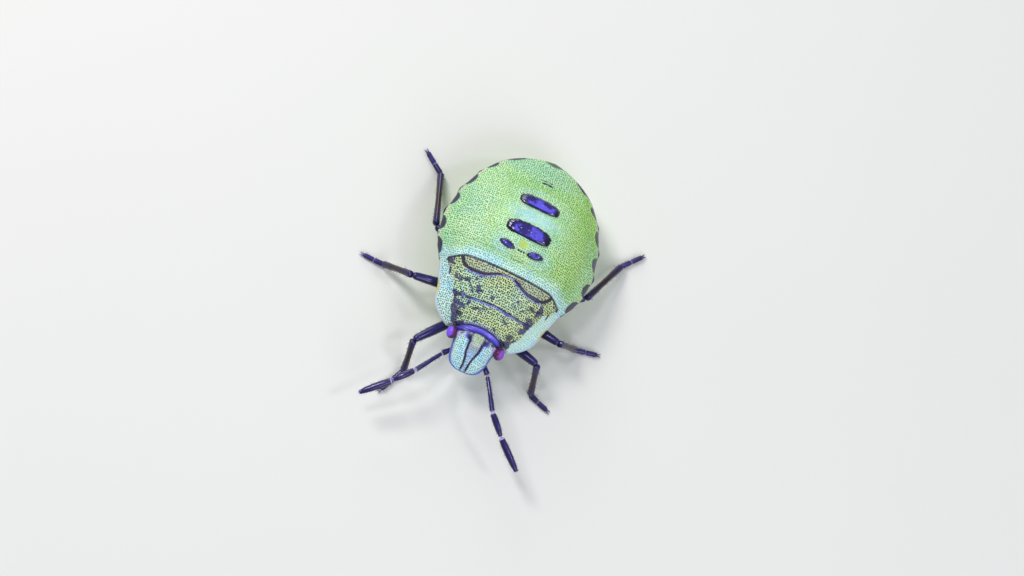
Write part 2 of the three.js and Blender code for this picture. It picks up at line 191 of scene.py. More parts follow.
# Fineness of the patterns in the finishes, per metre
CLOUDS, BLOTCHES, FLECKS, GRAIN = 900.0, 2900.0, 9000.0, 14000.0
PIT_RANDOMNESS = 0.52
PALE_FLECK = (0.84, 0.97, 0.96)
BLOTCH_COLOUR = (0.028, 0.014, 0.15)
SHEEN_TINT = (0.72, 0.66, 1.0, 1.0)

# Lights: name, place seen from the bug, width, power, colour
LIGHTS = (
    ("key_light", (-0.07, 0.03, 0.075), 0.03, 0.05, (1.0, 0.98, 0.95)),
    ("fill_light", (0.06, -0.06, 0.07), 0.07, 0.04, (0.92, 0.95, 1.0)),
    ("rim_light", (-0.055, 0.08, 0.034), 0.05, 0.026, (1.0, 0.99, 0.9)),
    ("left_sparkle", (0.064, 0.0125, 0.09), 0.02, 0.014, (1.0, 0.98, 1.0)),
    ("right_sparkle", (-0.041, 0.01, 0.09), 0.02, 0.014, (1.0, 0.98, 1.0)),
)
LIGHT_AIM_HEIGHT = 1.5
SKY_COLOUR, SKY_STRENGTH = (0.86, 0.92, 1.0, 1.0), 0.3
FLOOR_HALF = 0.4

# Camera: direction towards it, roll of the picture, width it takes in, and where it aims
VIEW = (-0.096, -0.259, 0.961)
ROLL_DEGREES = 24.2
MM_ACROSS = 30.4
PICTURE_WIDTH = 1024
AIM_RIGHT_PIXELS, AIM_DOWN_PIXELS = 2.25, 22.0
AIM_HEIGHT = 1.3
LENS, SENSOR = 105.0, 36.0


# Small helpers for shape

def smooth(t):
    """A soft step from 0 to 1."""
    s = np.clip(t, 0.0, 1.0)
    return s * s * (3 - 2 * s)


def step(low, high, value):
    """A soft step from 0 at low to 1 at high."""
    return smooth((value - low) / (high - low))


def band(distance, half, soft):
    """1 within half of a line, falling to 0 over soft."""
    return 1 - step(half, half + soft, np.abs(distance))


def spot(x, f, place, reach, turn=0.0, soft=0.25):
    """1 inside an ellipse at place, softly falling to 0 at its edge."""
    dx, df = x - place[0], f - place[1]
    cosine, sine = math.cos(turn), math.sin(turn)
    sideways = (cosine * dx + sine * df) / reach[0]
    forward = (cosine * df - sine * dx) / reach[1]
    return 1 - step(1 - soft, 1 + soft, np.hypot(sideways, forward))


def strongest(*layers):
    """The highest of several painted layers at each place, kept between 0 and 1."""
    return np.clip(np.maximum.reduce(layers), 0, 1)


def along(table, forward):
    """Value at a forward distance, with a rounded line through the table's points."""
    places = np.array([row[0] for row in table])
    values = np.array([row[1] for row in table])
    f = np.clip(forward, places[0], places[-1])
    i = np.clip(np.searchsorted(places, f, side="right") - 1, 0, len(places) - 2)
    before, after = np.maximum(i - 1, 0), np.minimum(i + 2, len(places) - 1)
    width = places[i + 1] - places[i]
    t = (f - places[i]) / width
    start_slope = (values[i + 1] - values[before]) / (places[i + 1] - places[before]) * width
    end_slope = (values[after] - values[i]) / (places[after] - places[i]) * width
    return ((2 * t**3 - 3 * t**2 + 1) * values[i] + (t**3 - 2 * t**2 + t) * start_slope
            + (3 * t**2 - 2 * t**3) * values[i + 1] + (t**3 - t**2) * end_slope)


def wobble(x, f, size=1.0):
    """A small uneven value that looks random but is the same each time."""
    return size * (np.sin(7.3 * x + 3.1 * f) * np.sin(9.7 * f - 4.3 * x)
                   + 0.5 * np.sin(21.0 * x - 13.0 * f) * np.sin(17.0 * f + 8.0 * x))


def groove(distance, depth, half):
    """A soft groove of that depth along a line."""
    return -depth * np.exp(-(distance / half) ** 2)


def share_of_width(x, f, table=TRUNK_WIDTH):
    """0 on the middle line and 1 on the outline."""
    return np.clip(np.abs(x) / np.maximum(along(table, f), THINNEST), 0, 1)


def arched(x, f, middle_table, edge_table=TRUNK_EDGE, width_table=TRUNK_WIDTH):
    """Height of a surface that arches from the outline to the middle line."""
    edge = along(edge_table, f)
    rise = np.maximum(1 - share_of_width(x, f, width_table) ** ROUNDNESS, 0) ** EDGE_SLOPE
    return edge + (along(middle_table, f) - edge) * rise


def back_height(x, f):
    return arched(x, f, TRUNK_TOP)


def belly_height(x, f):
    return arched(x, f, TRUNK_BELLY)


def head_height(x, f, table=HEAD_TOP):
    return arched(x, f, table, HEAD_EDGE, HEAD_WIDTH)


# Borders, each giving a forward distance for a sideways one

def collar_front(x):
    return COLLAR_FRONT + COLLAR_BEND * x * x


def collar_rear(x):
    return COLLAR_REAR + COLLAR_BEND * x * x


def pronotum_rear(x):
    return PRONOTUM_REAR + PRONOTUM_WAVE * np.sin(np.minimum(np.abs(x), PRONOTUM_WAVE_END) * 2)


def mesonotum_rear(x):
    side = np.abs(x)
    return (MESONOTUM_REAR + MESONOTUM_RISE * smooth(side / MESONOTUM_REACH)
            - MESONOTUM_FALL * smooth((side - MESONOTUM_FALL_FROM) / MESONOTUM_REACH))


def metanotum_rear(x):
    return METANOTUM_REAR + METANOTUM_RISE * smooth((np.abs(x) - METANOTUM_RISE_FROM) / METANOTUM_REACH)


def segment_line(place, x, share):
    """Border between two segments of the abdomen, bent forward where it meets the edge."""
    return place - SEGMENT_SAG * (1 - np.cos(x * 0.6)) + SEGMENT_SAG * step(0.75, 1.0, share)


def clypeus_half(f):
    """Half width of the clypeus, which narrows towards the tip of the head."""
    return 0.07 + 0.13 * step(3.45, CLYPEUS_REAR, f)


def straight(place):
    """A border that lies at one forward distance."""
    return lambda x: np.full_like(x, place)


def moved(border, by):
    """A border moved forward by a distance."""
    return lambda x: border(x) + by


# Mesh building

def to_frame(points):
    """Body millimetres to metres in the shared frame."""
    p = np.asarray(points, dtype=float)
    out = np.empty_like(p)
    out[:, 0] = p[:, 0] * MM + MIDDLE.x
    out[:, 1] = -p[:, 1] * MM + MIDDLE.y
    out[:, 2] = p[:, 2] * MM
    return out


def new_object(name, data):
    """An object in the scene that shows a mesh, lamp or camera."""
    made = bpy.data.objects.new(name, data)
    bpy.context.scene.collection.objects.link(made)
    return made


def new_piece(name, points, faces, values=None, vectors=None):
    """A smooth shaded mesh object with its painted values and vectors."""
    mesh = bpy.data.meshes.new(name)
    mesh.from_pydata(to_frame(points).tolist(), [], faces)
    mesh.validate()
    mesh.shade_smooth()
    for kind, field, layers in (("FLOAT", "value", values), ("FLOAT_VECTOR", "vector", vectors)):
        for key, value in (layers or {}).items():
            layer = mesh.attributes.new(key, kind, "POINT")
            layer.data.foreach_set(field, np.asarray(value, dtype=np.float32).ravel())
    return new_object(name, mesh)


def grid_faces(rows, columns, first=0, flip=False, closed=False):
    """Quads of a grid of points numbered row by row."""
    faces = []
    last = columns if closed else columns - 1
    for r in range(rows - 1):
        for c in range(last):
            a = first + r * columns + c
            b = first + r * columns + (c + 1) % columns
            quad = (a, b, b + columns, a + columns)
            faces.append(quad[::-1] if flip else quad)
    return faces


def plate_grid(front, rear, rows, columns, width=TRUNK_WIDTH):
    """Places over the body between two cross borders, closer together at the sides."""
    share = np.sin(np.linspace(-1, 1, columns) * math.pi / 2)
    t = np.linspace(0, 1, rows)
    half = np.full(rows, 1.5)
    rounds = 12
    for _ in range(rounds):  # each round brings the half widths closer to the outline
        f = front(half) * (1 - t) + rear(half) * t
        half = 0.5 * half + 0.5 * along(width, f)
    x = half[:, None] * share[None, :]
    f = front(x) * (1 - t[:, None]) + rear(x) * t[:, None]
    return x, f


def spread_places(x, f, z):
    """Places measured along the surface, sideways and backward from its front middle."""
    rows, columns = x.shape
    middle = columns // 2
    across = np.sqrt(np.diff(x, axis=1) ** 2 + np.diff(f, axis=1) ** 2 + np.diff(z, axis=1) ** 2)
    run = np.concatenate([np.zeros((rows, 1)), np.cumsum(across, axis=1)], axis=1)
    run = run - run[:, middle:middle + 1]
    down = np.hypot(np.diff(f[:, middle]), np.diff(z[:, middle]))
    back = np.concatenate([[0], np.cumsum(down)])[:, None] + (f[:, middle:middle + 1] - f)
    return np.stack([run, back, np.zeros_like(run)], -1)


def shell(name, x, f, top, bottom, values):
    """A closed shell with an upper and a lower face over the same places."""
    rows, columns = x.shape
    count = rows * columns
    points = np.concatenate([
        np.stack([x, f, top], -1).reshape(-1, 3),
        np.stack([x, f, bottom], -1).reshape(-1, 3),
    ])
    faces = grid_faces(rows, columns) + grid_faces(rows, columns, count, flip=True)
    loop = list(range(columns))
    loop += [r * columns + columns - 1 for r in range(1, rows)]
    loop += [(rows - 1) * columns + c for c in range(columns - 2, -1, -1)]
    loop += [r * columns for r in range(rows - 2, 0, -1)]
    for i, a in enumerate(loop):
        b = loop[(i + 1) % len(loop)]
        faces.append((b, a, a + count, b + count))
    painted = {key: np.concatenate([np.broadcast_to(v, x.shape).ravel(), np.zeros(count)])
               for key, v in values.items()}
    spread = spread_places(x, f, top).reshape(-1, 3)
    below = spread + (50, 0, 0)  # the lower face takes another part of the pit pattern
    return new_piece(name, points, faces, painted, {"spread": np.concatenate([spread, below])})


def edge_drop(distance, radius):
    """How far a rounded edge falls at a distance in from it."""
    inside = np.clip(distance / radius, 0, 1)
    return radius * (1 - np.sqrt(np.maximum(1 - (1 - inside) ** 2, 0)))


def path_points(joints, count):
    """Evenly spaced points through joints, and how far along each lies."""
    p = np.array(joints, dtype=float)
    lengths = np.linalg.norm(np.diff(p, axis=0), axis=1)
    places = np.concatenate([[0], np.cumsum(lengths)]) / lengths.sum()
    t = np.linspace(0, 1, count)
    return t, np.stack([np.interp(t, places, p[:, k]) for k in range(3)], 1)


def unit(vectors):
    return vectors / np.linalg.norm(vectors, axis=1, keepdims=True)


def nowhere(t):
    return t * 0


def tube(name, joints, radius, rings, sides, flat=1.0, bend=0.0, up=(0, 0, 1), **painted):
    """A closed limb through joints. Its radius and painted values depend on how far along
    it they are, from 0 to 1. flat thins it across and bend arches it."""
    t, points = path_points(joints, rings)
    points = points + np.outer(bend * np.sin(np.pi * t), (0, 0, 1))
    directions = unit(np.gradient(points, axis=0))
    across = unit(np.cross(directions, np.array(up, dtype=float)))
    above = np.cross(across, directions)
    size = radius(t)[:, None]
    angle = np.linspace(0, 2 * math.pi, sides, endpoint=False)
    ring = (points[:, None, :]
            + across[:, None, :] * (size * np.cos(angle) * flat)[:, :, None]
            + above[:, None, :] * (size * np.sin(angle))[:, :, None])
    cloud = np.concatenate([ring.reshape(-1, 3), points[:1], points[-1:]])
    faces = grid_faces(rings, sides, closed=True)
    tip = rings * sides
    for c in range(sides):
        n = (c + 1) % sides
        faces.append((n, c, tip))
        faces.append((tip - sides + c, tip - sides + n, tip + 1))
    values = {key: np.concatenate([np.repeat(v(t), sides), v(t[:1]), v(t[-1:])])
              for key, v in {"pale": nowhere, "warm": nowhere, **painted}.items()}
    # Painted sheen: the upper side of each limb gets a lit value, which paints it a lighter violet as
    # though lit from above.
    sheen = 0.13 * np.clip(np.sin(angle), 0, 1) ** 4
    values["lit"] = np.concatenate([np.tile(sheen, rings), [0, 0]])
    lie = np.concatenate([np.repeat(directions, sides, axis=0), directions[:1], directions[-1:]])
    made = new_piece(name, cloud, faces, values, {"lie": lie * np.array((1, -1, 1))})
    turn_outward(made)
    return made


def turn_outward(piece):
    """Turns the faces of a closed piece outwards if its volume comes out negative."""
    work = bmesh.new()
    work.from_mesh(piece.data)
    if work.calc_volume(signed=True) < 0:
        bmesh.ops.reverse_faces(work, faces=work.faces)
    work.to_mesh(piece.data)
    work.free()


def round_ends(t, start, end):
    """A profile that is full in the middle and closes roundly at both ends."""
    first = np.sqrt(np.clip(1 - (1 - np.clip(t / start, 0, 1)) ** 2, 0, 1))
    last = np.sqrt(np.clip(1 - (1 - np.clip((1 - t) / end, 0, 1)) ** 2, 0, 1))
    return np.maximum(first * last, 0.02)


def ring_at(t, place, width):
    """1 at a place along a limb, softly falling to 0 beside it."""
    return np.exp(-((t - place) / width) ** 2)


def settle(piece, finish, slot, *nodes):
    """Gives a piece its finish, and puts it on the body in place of its nodes. Its slot is not used."""
    if finish:
        piece.data.materials.clear()
        piece.data.materials.append(finish_named(finish))
    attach(piece, "root")
    if nodes:
        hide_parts(*nodes)


# Node trees

class Value:
    """A node's output that takes part in plain arithmetic."""

    def __init__(self, nodes, socket):
        self.nodes, self.socket = nodes, socket

    def beside(self, name):
        """Another output of the same node."""
        return Value(self.nodes, self.socket.node.outputs[name])

    def __add__(self, other):
        return self.nodes.maths("ADD", self, other)

    def __mul__(self, other):
        return self.nodes.maths("MULTIPLY", self, other)

    def __sub__(self, other):
        return self.nodes.maths("SUBTRACT", self, other)

    def __rsub__(self, other):
        return self.nodes.maths("SUBTRACT", other, self)

    def __truediv__(self, other):
        return self.nodes.maths("DIVIDE", self, other)

    __radd__ = __add__
    __rmul__ = __mul__


class Nodes:
    """Adds nodes to a node tree and links them."""

    def plug(self, value, socket):
        """Links a value to a socket, or sets the socket to a plain one."""
        if isinstance(value, Value):
            self.tree.links.new(value.socket, socket)
        else:
            socket.default_value = value

    def add(self, kind, settings=None, sockets=None, out=0):
        node = self.tree.nodes.new(kind)
        for key, value in (settings or {}).items():
            setattr(node, key, value)
        for key, value in (sockets or {}).items():
            self.plug(value, node.inputs[key])
        return Value(self, node.outputs[out])

    def maths(self, operation, *values):
        return self.add("ShaderNodeMath", {"operation": operation}, dict(enumerate(values)))

    def pit_distance(self, place, per_mm):
        """Distance to the nearest pit's middle, measured along the shell."""
        return self.add("ShaderNodeTexVoronoi", {"feature": "F1", "voronoi_dimensions": "2D"}, {
            "Vector": place, "Scale": per_mm, "Randomness": PIT_RANDOMNESS})


class Tree(Nodes):
    """A geometry node tree with named inputs."""

    def __init__(self, name, inputs):
        self.tree = bpy.data.node_groups.new(name, "GeometryNodeTree")
        sockets = self.tree.interface
        sockets.new_socket("Geometry", in_out="INPUT", socket_type="NodeSocketGeometry")
        self.ids = {}
        for label, (kind, default) in inputs.items():
            socket = sockets.new_socket(label, in_out="INPUT", socket_type=kind)
            if default is not None:
                socket.default_value = default
            self.ids[label] = socket.identifier
        sockets.new_socket("Geometry", in_out="OUTPUT", socket_type="NodeSocketGeometry")
        self.source = self.tree.nodes.new("NodeGroupInput")
        self.target = self.tree.nodes.new("NodeGroupOutput")

    def given(self, label):
        return Value(self, self.source.outputs[label])

    def reading(self, name, kind="FLOAT_VECTOR"):
        """A value or vector painted on the mesh."""
        return self.add("GeometryNodeInputNamedAttribute", {"data_type": kind}, {"Name": name})

    def upward_part(self, kind):
        """The z of a place or normal."""
        return self.add("ShaderNodeSeparateXYZ", None, {"Vector": self.add(kind)}, out=2)

    def finish(self, geometry, material=None):
        made = self.add("GeometryNodeRealizeInstances", None, {"Geometry": geometry})
        if material is not None:
            made = self.add("GeometryNodeSetMaterial", None, {"Geometry": made, "Material": material})
        self.plug(made, self.target.inputs["Geometry"])
        return self


def run_tree(piece, tree, values):
    """Runs a geometry node tree on a piece and keeps the result as its plain mesh."""
    modifier = piece.modifiers.new("shape", "NODES")
    modifier.node_group = tree.tree
    for label, value in values.items():
        modifier[tree.ids[label]] = value
    depsgraph = bpy.context.evaluated_depsgraph_get()
    mesh = bpy.data.meshes.new_from_object(
        piece.evaluated_get(depsgraph), preserve_all_data_layers=True, depsgraph=depsgraph)
    piece.modifiers.remove(modifier)
    piece.data = mesh


def pit_tree():
    """Presses fine round pits into a shell where its pit_amount is high."""
    tree = Tree("shell_pits", {
        "Pits per mm": ("NodeSocketFloat", 15.0),
        "Pit size": ("NodeSocketFloat", 0.4),
        "Depth": ("NodeSocketFloat", 0.000012),
    })
    distance = tree.pit_distance(tree.reading("spread"), tree.given("Pits per mm"))
    hollow = tree.maths("MAXIMUM", 1.0 - distance / tree.given("Pit size"), 0.0)
    hollow = tree.maths("SMOOTH_MIN", hollow, 1.0, 0.1)
    inward = hollow * tree.reading("pit_amount", "FLOAT") * tree.given("Depth") * -1.0
    push = tree.add("ShaderNodeVectorMath", {"operation": "SCALE"}, {
        0: tree.add("GeometryNodeInputNormal"), "Scale": inward})
    return tree.finish(tree.add("GeometryNodeSetPosition", None, {
        "Geometry": tree.given("Geometry"), "Offset": push}))


def bristle_tree():
    """Sets thin tapering bristles on a surface, leaning along its lie attribute."""
    tree = Tree("bristles", {
        "Bristles per area": ("NodeSocketFloat", 60e6),
        "Length": ("NodeSocketFloat", 0.0001),
        "Thickness": ("NodeSocketFloat", 0.000004),
        "Lean": ("NodeSocketFloat", 0.9),
        "Seed": ("NodeSocketInt", 3),
        "Material": ("NodeSocketMaterial", None),
    })
    clear = tree.maths(
        "GREATER_THAN", tree.upward_part("GeometryNodeInputPosition"), tree.given("Length"))
    upward = tree.maths("GREATER_THAN", tree.upward_part("GeometryNodeInputNormal"), -0.1)
    points = tree.add("GeometryNodeDistributePointsOnFaces", None, {
        "Mesh": tree.given("Geometry"), "Density": tree.given("Bristles per area"),
        "Seed": tree.given("Seed"), "Selection": tree.maths("MAXIMUM", clear, upward)})
    leaning = tree.add("ShaderNodeVectorMath", {"operation": "SCALE"}, {
        0: tree.reading("lie"), "Scale": tree.given("Lean")})
    way = tree.add("ShaderNodeVectorMath", {"operation": "ADD"}, {
        0: points.beside("Normal"), 1: leaning})
    kept = tree.add("GeometryNodeStoreNamedAttribute", {"data_type": "FLOAT_VECTOR", "domain": "POINT"}, {
        "Geometry": points, "Name": "root_place", "Value": tree.add("GeometryNodeInputPosition")})
    hair = tree.add("GeometryNodeMeshCone", None, {
        "Vertices": 3, "Radius Bottom": tree.given("Thickness"), "Radius Top": 0.0000003,
        "Depth": tree.given("Length")})
    placed = tree.add("GeometryNodeInstanceOnPoints", None, {
        "Points": kept, "Instance": hair,
        "Rotation": tree.add("FunctionNodeAlignRotationToVector", {"axis": "Z"}, {"Vector": way}),
        "Scale": tree.add("FunctionNodeRandomValue", {"data_type": "FLOAT"}, {
            2: 0.6, 3: 1.15, "Seed": 5}, out=1)})
    return tree.finish(placed, tree.given("Material"))


def eye_tree():
    """Turns a fine ball into closely packed domed facets."""
    tree = Tree("eye_facets", {
        "Facet height": ("NodeSocketFloat", 0.000003), "Material": ("NodeSocketMaterial", None)})
    dual = tree.add("GeometryNodeDualMesh", None, {"Mesh": tree.given("Geometry")})
    raised = tree.add("GeometryNodeExtrudeMesh", {"mode": "FACES"}, {
        "Mesh": dual, "Offset Scale": tree.given("Facet height")})
    smaller = tree.add("GeometryNodeScaleElements", None, {
        "Geometry": raised, "Selection": raised.beside("Top"), "Scale": 0.72})
    return tree.finish(smaller, tree.given("Material"))


def vectors_of(layer, field, count):
    """Vectors of a mesh layer, one to a row."""
    flat = np.zeros(count * 3, dtype=np.float32)
    layer.foreach_get(field, flat)
    return flat.reshape(-1, 3)


def map_bristles(piece):
    """Gives each bristle a small patch on the map named OFBake, at its root's place."""
    mesh = piece.data
    count = len(mesh.vertices)
    place = vectors_of(mesh.vertices, "co", count)
    root = vectors_of(mesh.attributes["root_place"].data, "vector", count)
    low, high = np.array(CAD_BOX[0]), np.array(CAD_BOX[1])
    span = (high - low).max() * 1.05
    patch, margin = 0.003, 0.02
    local = place - root
    local = local / max(np.abs(local).max(), 1e-9)
    spots = margin + (1 - 2 * margin) * (root[:, :2] - low[:2]) / span
    uv = spots + patch / 2 * local[:, :2] + patch / 4 * local[:, 2:3]
    corner = np.zeros(len(mesh.loops), dtype=np.int32)
    mesh.loops.foreach_get("vertex_index", corner)
    layer = mesh.uv_layers.get("OFBake") or mesh.uv_layers.new(name="OFBake")
    layer.uv.foreach_set("vector", uv[corner].astype(np.float32).ravel())


# Finishes

class Finish(Nodes):
    """A procedural material."""

    def __init__(self, name, **shader):
        self.material = bpy.data.materials.new(name)
        self.material.use_nodes = True
        self.tree = self.material.node_tree
        self.shader = self.tree.nodes["Principled BSDF"]
        for key, value in shader.items():
            self.shader.inputs[key.replace("_", " ")].default_value = value

    def reading(self, name, out=2):
        """A value painted on the mesh. Output 1 gives a vector."""
        return self.add("ShaderNodeAttribute", {"attribute_name": name}, out=out)

    def step(self, low, high, value):
        return self.add("ShaderNodeMapRange", {"interpolation_type": "SMOOTHSTEP"}, {
            "Value": value, "From Min": low, "From Max": high})

    def blend(self, amount, first, second):
        """first where amount is 0 and second where it is 1."""
        mixed = self.add("ShaderNodeMix", {"data_type": "RGBA"}, {"Factor": amount}, out=2)
        inputs = mixed.socket.node.inputs
        for place, colour in ((6, first), (7, second)):  # the places of a Mix node's two colours
            self.plug(colour if isinstance(colour, Value) else (*colour, 1.0), inputs[place])
        return mixed

    def noise(self, scale, detail=3.0):
        place = self.add("ShaderNodeTexCoord", out=3)
        return self.add("ShaderNodeTexNoise", None, {"Vector": place, "Scale": scale, "Detail": detail})

    def dotted(self, back, spacing, half, size):
        """A short row of round dots across the body, that far behind the shell's front."""
        across = self.add("ShaderNodeSeparateXYZ", None, {"Vector": self.reading("spread", 1)})
        beside = self.maths("PINGPONG", across, spacing / 2)
        away = across.beside("Y") - back
        distance = self.maths("SQRT", beside * beside + away * away)
        within = self.step(half + spacing / 4, half, self.maths("ABSOLUTE", across))
        return within * (1 - self.step(size * 0.7, size * 1.2, distance))

    def bump(self, height, distance, strength):
        return self.add("ShaderNodeBump", None, {
            "Height": height, "Distance": distance, "Strength": strength})

    def feed(self, **links):
        for key, value in links.items():
            self.plug(value, self.shader.inputs[key.replace("_", " ")])
        return self.material


def shell_finish(look, name, base, second, fleck, pit_colour, pit_reach, pit_strength,
                 fleck_strength=0.6, dots=()):
    """Waxy shell: ground colours, light flecks, pits, blotches and painted marks."""
    finish = Finish(name, Coat_Roughness=0.2, Specular_IOR_Level=0.35,
                    Subsurface_Weight=0.05, Subsurface_Scale=0.00015)
    cloud = finish.step(0.38, 0.62, finish.noise(CLOUDS, 4.0))
    pale = finish.reading("pale")
    colour = finish.blend(cloud, getattr(look, base), getattr(look, second))
    olive_ground = finish.blend(cloud, look.olive, look.olive_deep)
    colour = finish.blend(finish.reading("olive"), colour, olive_ground)
    colour = finish.blend(pale, colour, finish.blend(cloud, look.pale, look.pale_blue))
    flecks = finish.step(0.48, 0.62, finish.noise(FLECKS, 2.0))
    colour = finish.blend(flecks * fleck_strength, colour, finish.blend(pale, fleck, PALE_FLECK))
    # The lilac value blends in the joint colour: lilac marks, and a painted highlight along the rims of
    # the front thorax plates.
    colour = finish.blend(finish.reading("lilac"), colour, look.joint)
    to_pit = finish.pit_distance(finish.reading("spread", 1), look.pits_per_mm)
    pit = 1 - finish.step(pit_reach - 0.06, pit_reach + 0.08, to_pit)
    pit = pit * finish.reading("pit_amount")
    colour = finish.blend(pit * pit_strength, colour, pit_colour)
    blotch = finish.reading("blotch")
    patches = finish.step(0.55, 0.60, finish.noise(BLOTCHES, 4.0) + blotch * 0.17 - 0.08)
    colour = finish.blend(patches * finish.step(0.02, 0.2, blotch) * 0.85, colour, BLOTCH_COLOUR)
    colour = finish.blend(finish.reading("warm"), colour, look.rim)
    colour = finish.blend(finish.reading("violet"), colour, look.violet_and_sheen)
    dark = finish.reading("dark")
    for row in dots:
        dark = finish.maths("MAXIMUM", dark, finish.dotted(*row))
    grain = finish.noise(GRAIN, 2.0)
    return finish.feed(
        Base_Color=finish.blend(dark, colour, look.line),
        Roughness=0.36 + 0.16 * grain - 0.16 * dark,
        Coat_Weight=0.09 + 0.45 * dark,
        Normal=finish.bump(grain * 0.4 - pit, 0.000007, 0.6),
    )


def dark_finish(look, name, light, roughness, patchy=0.0, coat=0.22):
    """Glossy violet-black cuticle of plates and limbs, with pale joints, and a painted sheen of lighter
    violet where the lit value is high.
    """
    finish = Finish(name, Coat_Roughness=0.06, Specular_IOR_Level=0.5, Specular_Tint=SHEEN_TINT)
    cloud = finish.step(0.42, 0.7, finish.noise(2600.0, 4.0))
    cracks = finish.step(0.44, 0.54, finish.noise(3400.0, 5.0))
    # Painted sheen: the lit value, broken up by dark cracks where patchy, paints the colour towards the
    # lighter violet.
    lit = finish.reading("lit") * (1 - patchy + patchy * cracks)
    colour = finish.blend(cloud * light + lit, look.violet, look.violet_and_sheen)
    colour = finish.blend(finish.reading("warm"), colour, look.brown)
    grain = finish.noise(FLECKS)
    return finish.feed(
        Base_Color=finish.blend(finish.reading("pale"), colour, look.joint),
        Roughness=roughness + 0.12 * grain,
        Coat_Weight=coat + 0.25 * cloud,
        Normal=finish.bump(grain, 0.000008, 0.3),
    )


def eye_finish(look, name):
    """Purple facets, clouded with blue, with painted shade round the rim in a dimmed copy of the eye
    colour.
    """
    finish = Finish(name, Coat_Roughness=0.08, Specular_IOR_Level=0.35)
    cloud = finish.step(0.33, 0.55, finish.noise(2800.0))
    colour = finish.blend(cloud, look.eye, look.eye_glow)
    # Painted shade: where dark is high, the eye colour is dimmed to a quarter.
    return finish.feed(
        Base_Color=finish.blend(finish.reading("dark"), colour, [0.25 * part for part in look.eye]),
        Roughness=0.24 + 0.12 * cloud,
        Coat_Weight=0.3 + 0.2 * cloud,
    )


def floor_finish(look, name):
    """Matt and nearly white."""
    finish = Finish(name, Specular_IOR_Level=0.2)
    cloud = finish.noise(60.0)
    return finish.feed(
        Base_Color=finish.blend(cloud, (0.80, 0.80, 0.78), (0.84, 0.84, 0.82)),
        Roughness=0.75 + 0.1 * cloud,
    )


# Each dotted row on the abdomen: distance from the front, spacing, half length, dot radius
FINISHES = {
    "abdomen": (shell_finish, dict(
        name="abdomen_green", base="green", second="green_deep", fleck=(0.68, 0.92, 0.48),
        pit_colour=(0.03, 0.11, 0.03), pit_reach=0.29, pit_strength=0.92, fleck_strength=0.35,
        dots=((0.84, 0.085, 0.14, 0.032), (0.53, 0.055, 0.19, 0.018)))),
    "thorax": (shell_finish, dict(
        name="thorax_olive", base="olive", second="olive_deep", fleck=(0.84, 0.92, 0.55),
        pit_colour=(0.006, 0.007, 0.012), pit_reach=0.325, pit_strength=1.0)),
    "head": (shell_finish, dict(
        name="head_pale", base="pale", second="pale_blue", fleck=PALE_FLECK,
        pit_colour=(0.008, 0.02, 0.035), pit_reach=0.275, pit_strength=0.78)),
    "plates": (dark_finish, dict(
        name="gland_plate_violet", light=0.06, roughness=0.05, patchy=0.8, coat=0.6)),
    "collar": (dark_finish, dict(
        name="collar_violet", light=0.2, roughness=0.14, patchy=0.15, coat=0.4)),
    "limbs": (dark_finish, dict(name="limb_violet", light=0.04, roughness=0.18)),
    "feet": (dark_finish, dict(name="foot_violet", light=0.14, roughness=0.4)),
    "bristles": (dark_finish, dict(name="bristle_dark", light=0.1, roughness=0.45)),
    "eyes": (eye_finish, dict(name="eye_facets")),
    "floor": (floor_finish, dict(name="pale_floor")),
}
MATERIALS = {}


def finish_named(name):
    """The material of that finish, made on first use."""
    if name not in MATERIALS:
        maker, values = FINISHES[name]
        MATERIALS[name] = maker(bpy.context.scene.bug_look, **values)
    return MATERIALS[name]


def settle_shell(piece, finish, slot, *nodes):
    """Presses the real pits into a shell and settles it."""
    look = bpy.context.scene.bug_look
    run_tree(piece, pit_tree(), {
        "Pits per mm": look.pits_per_mm, "Pit size": 0.4, "Depth": look.pit_depth})
    settle(piece, finish, slot, *nodes)


# Patterns painted on the body, as values between 0 and 1

def plain_values(x):
    """No markings, and pits everywhere."""
    marks = ("dark", "pale", "olive", "warm", "violet", "lilac", "blotch")
    return {**{key: np.zeros_like(x) for key in marks}, "pit_amount": np.ones_like(x)}


def both_sides(x, f, marks):
    """Spots given for one side, drawn on both."""
    side = np.abs(x) + wobble(x, f, 0.012)
    return strongest(*(spot(side, f, (place, forward), (reach_x, reach_f), turn)
                       for place, forward, reach_x, reach_f, turn in marks))


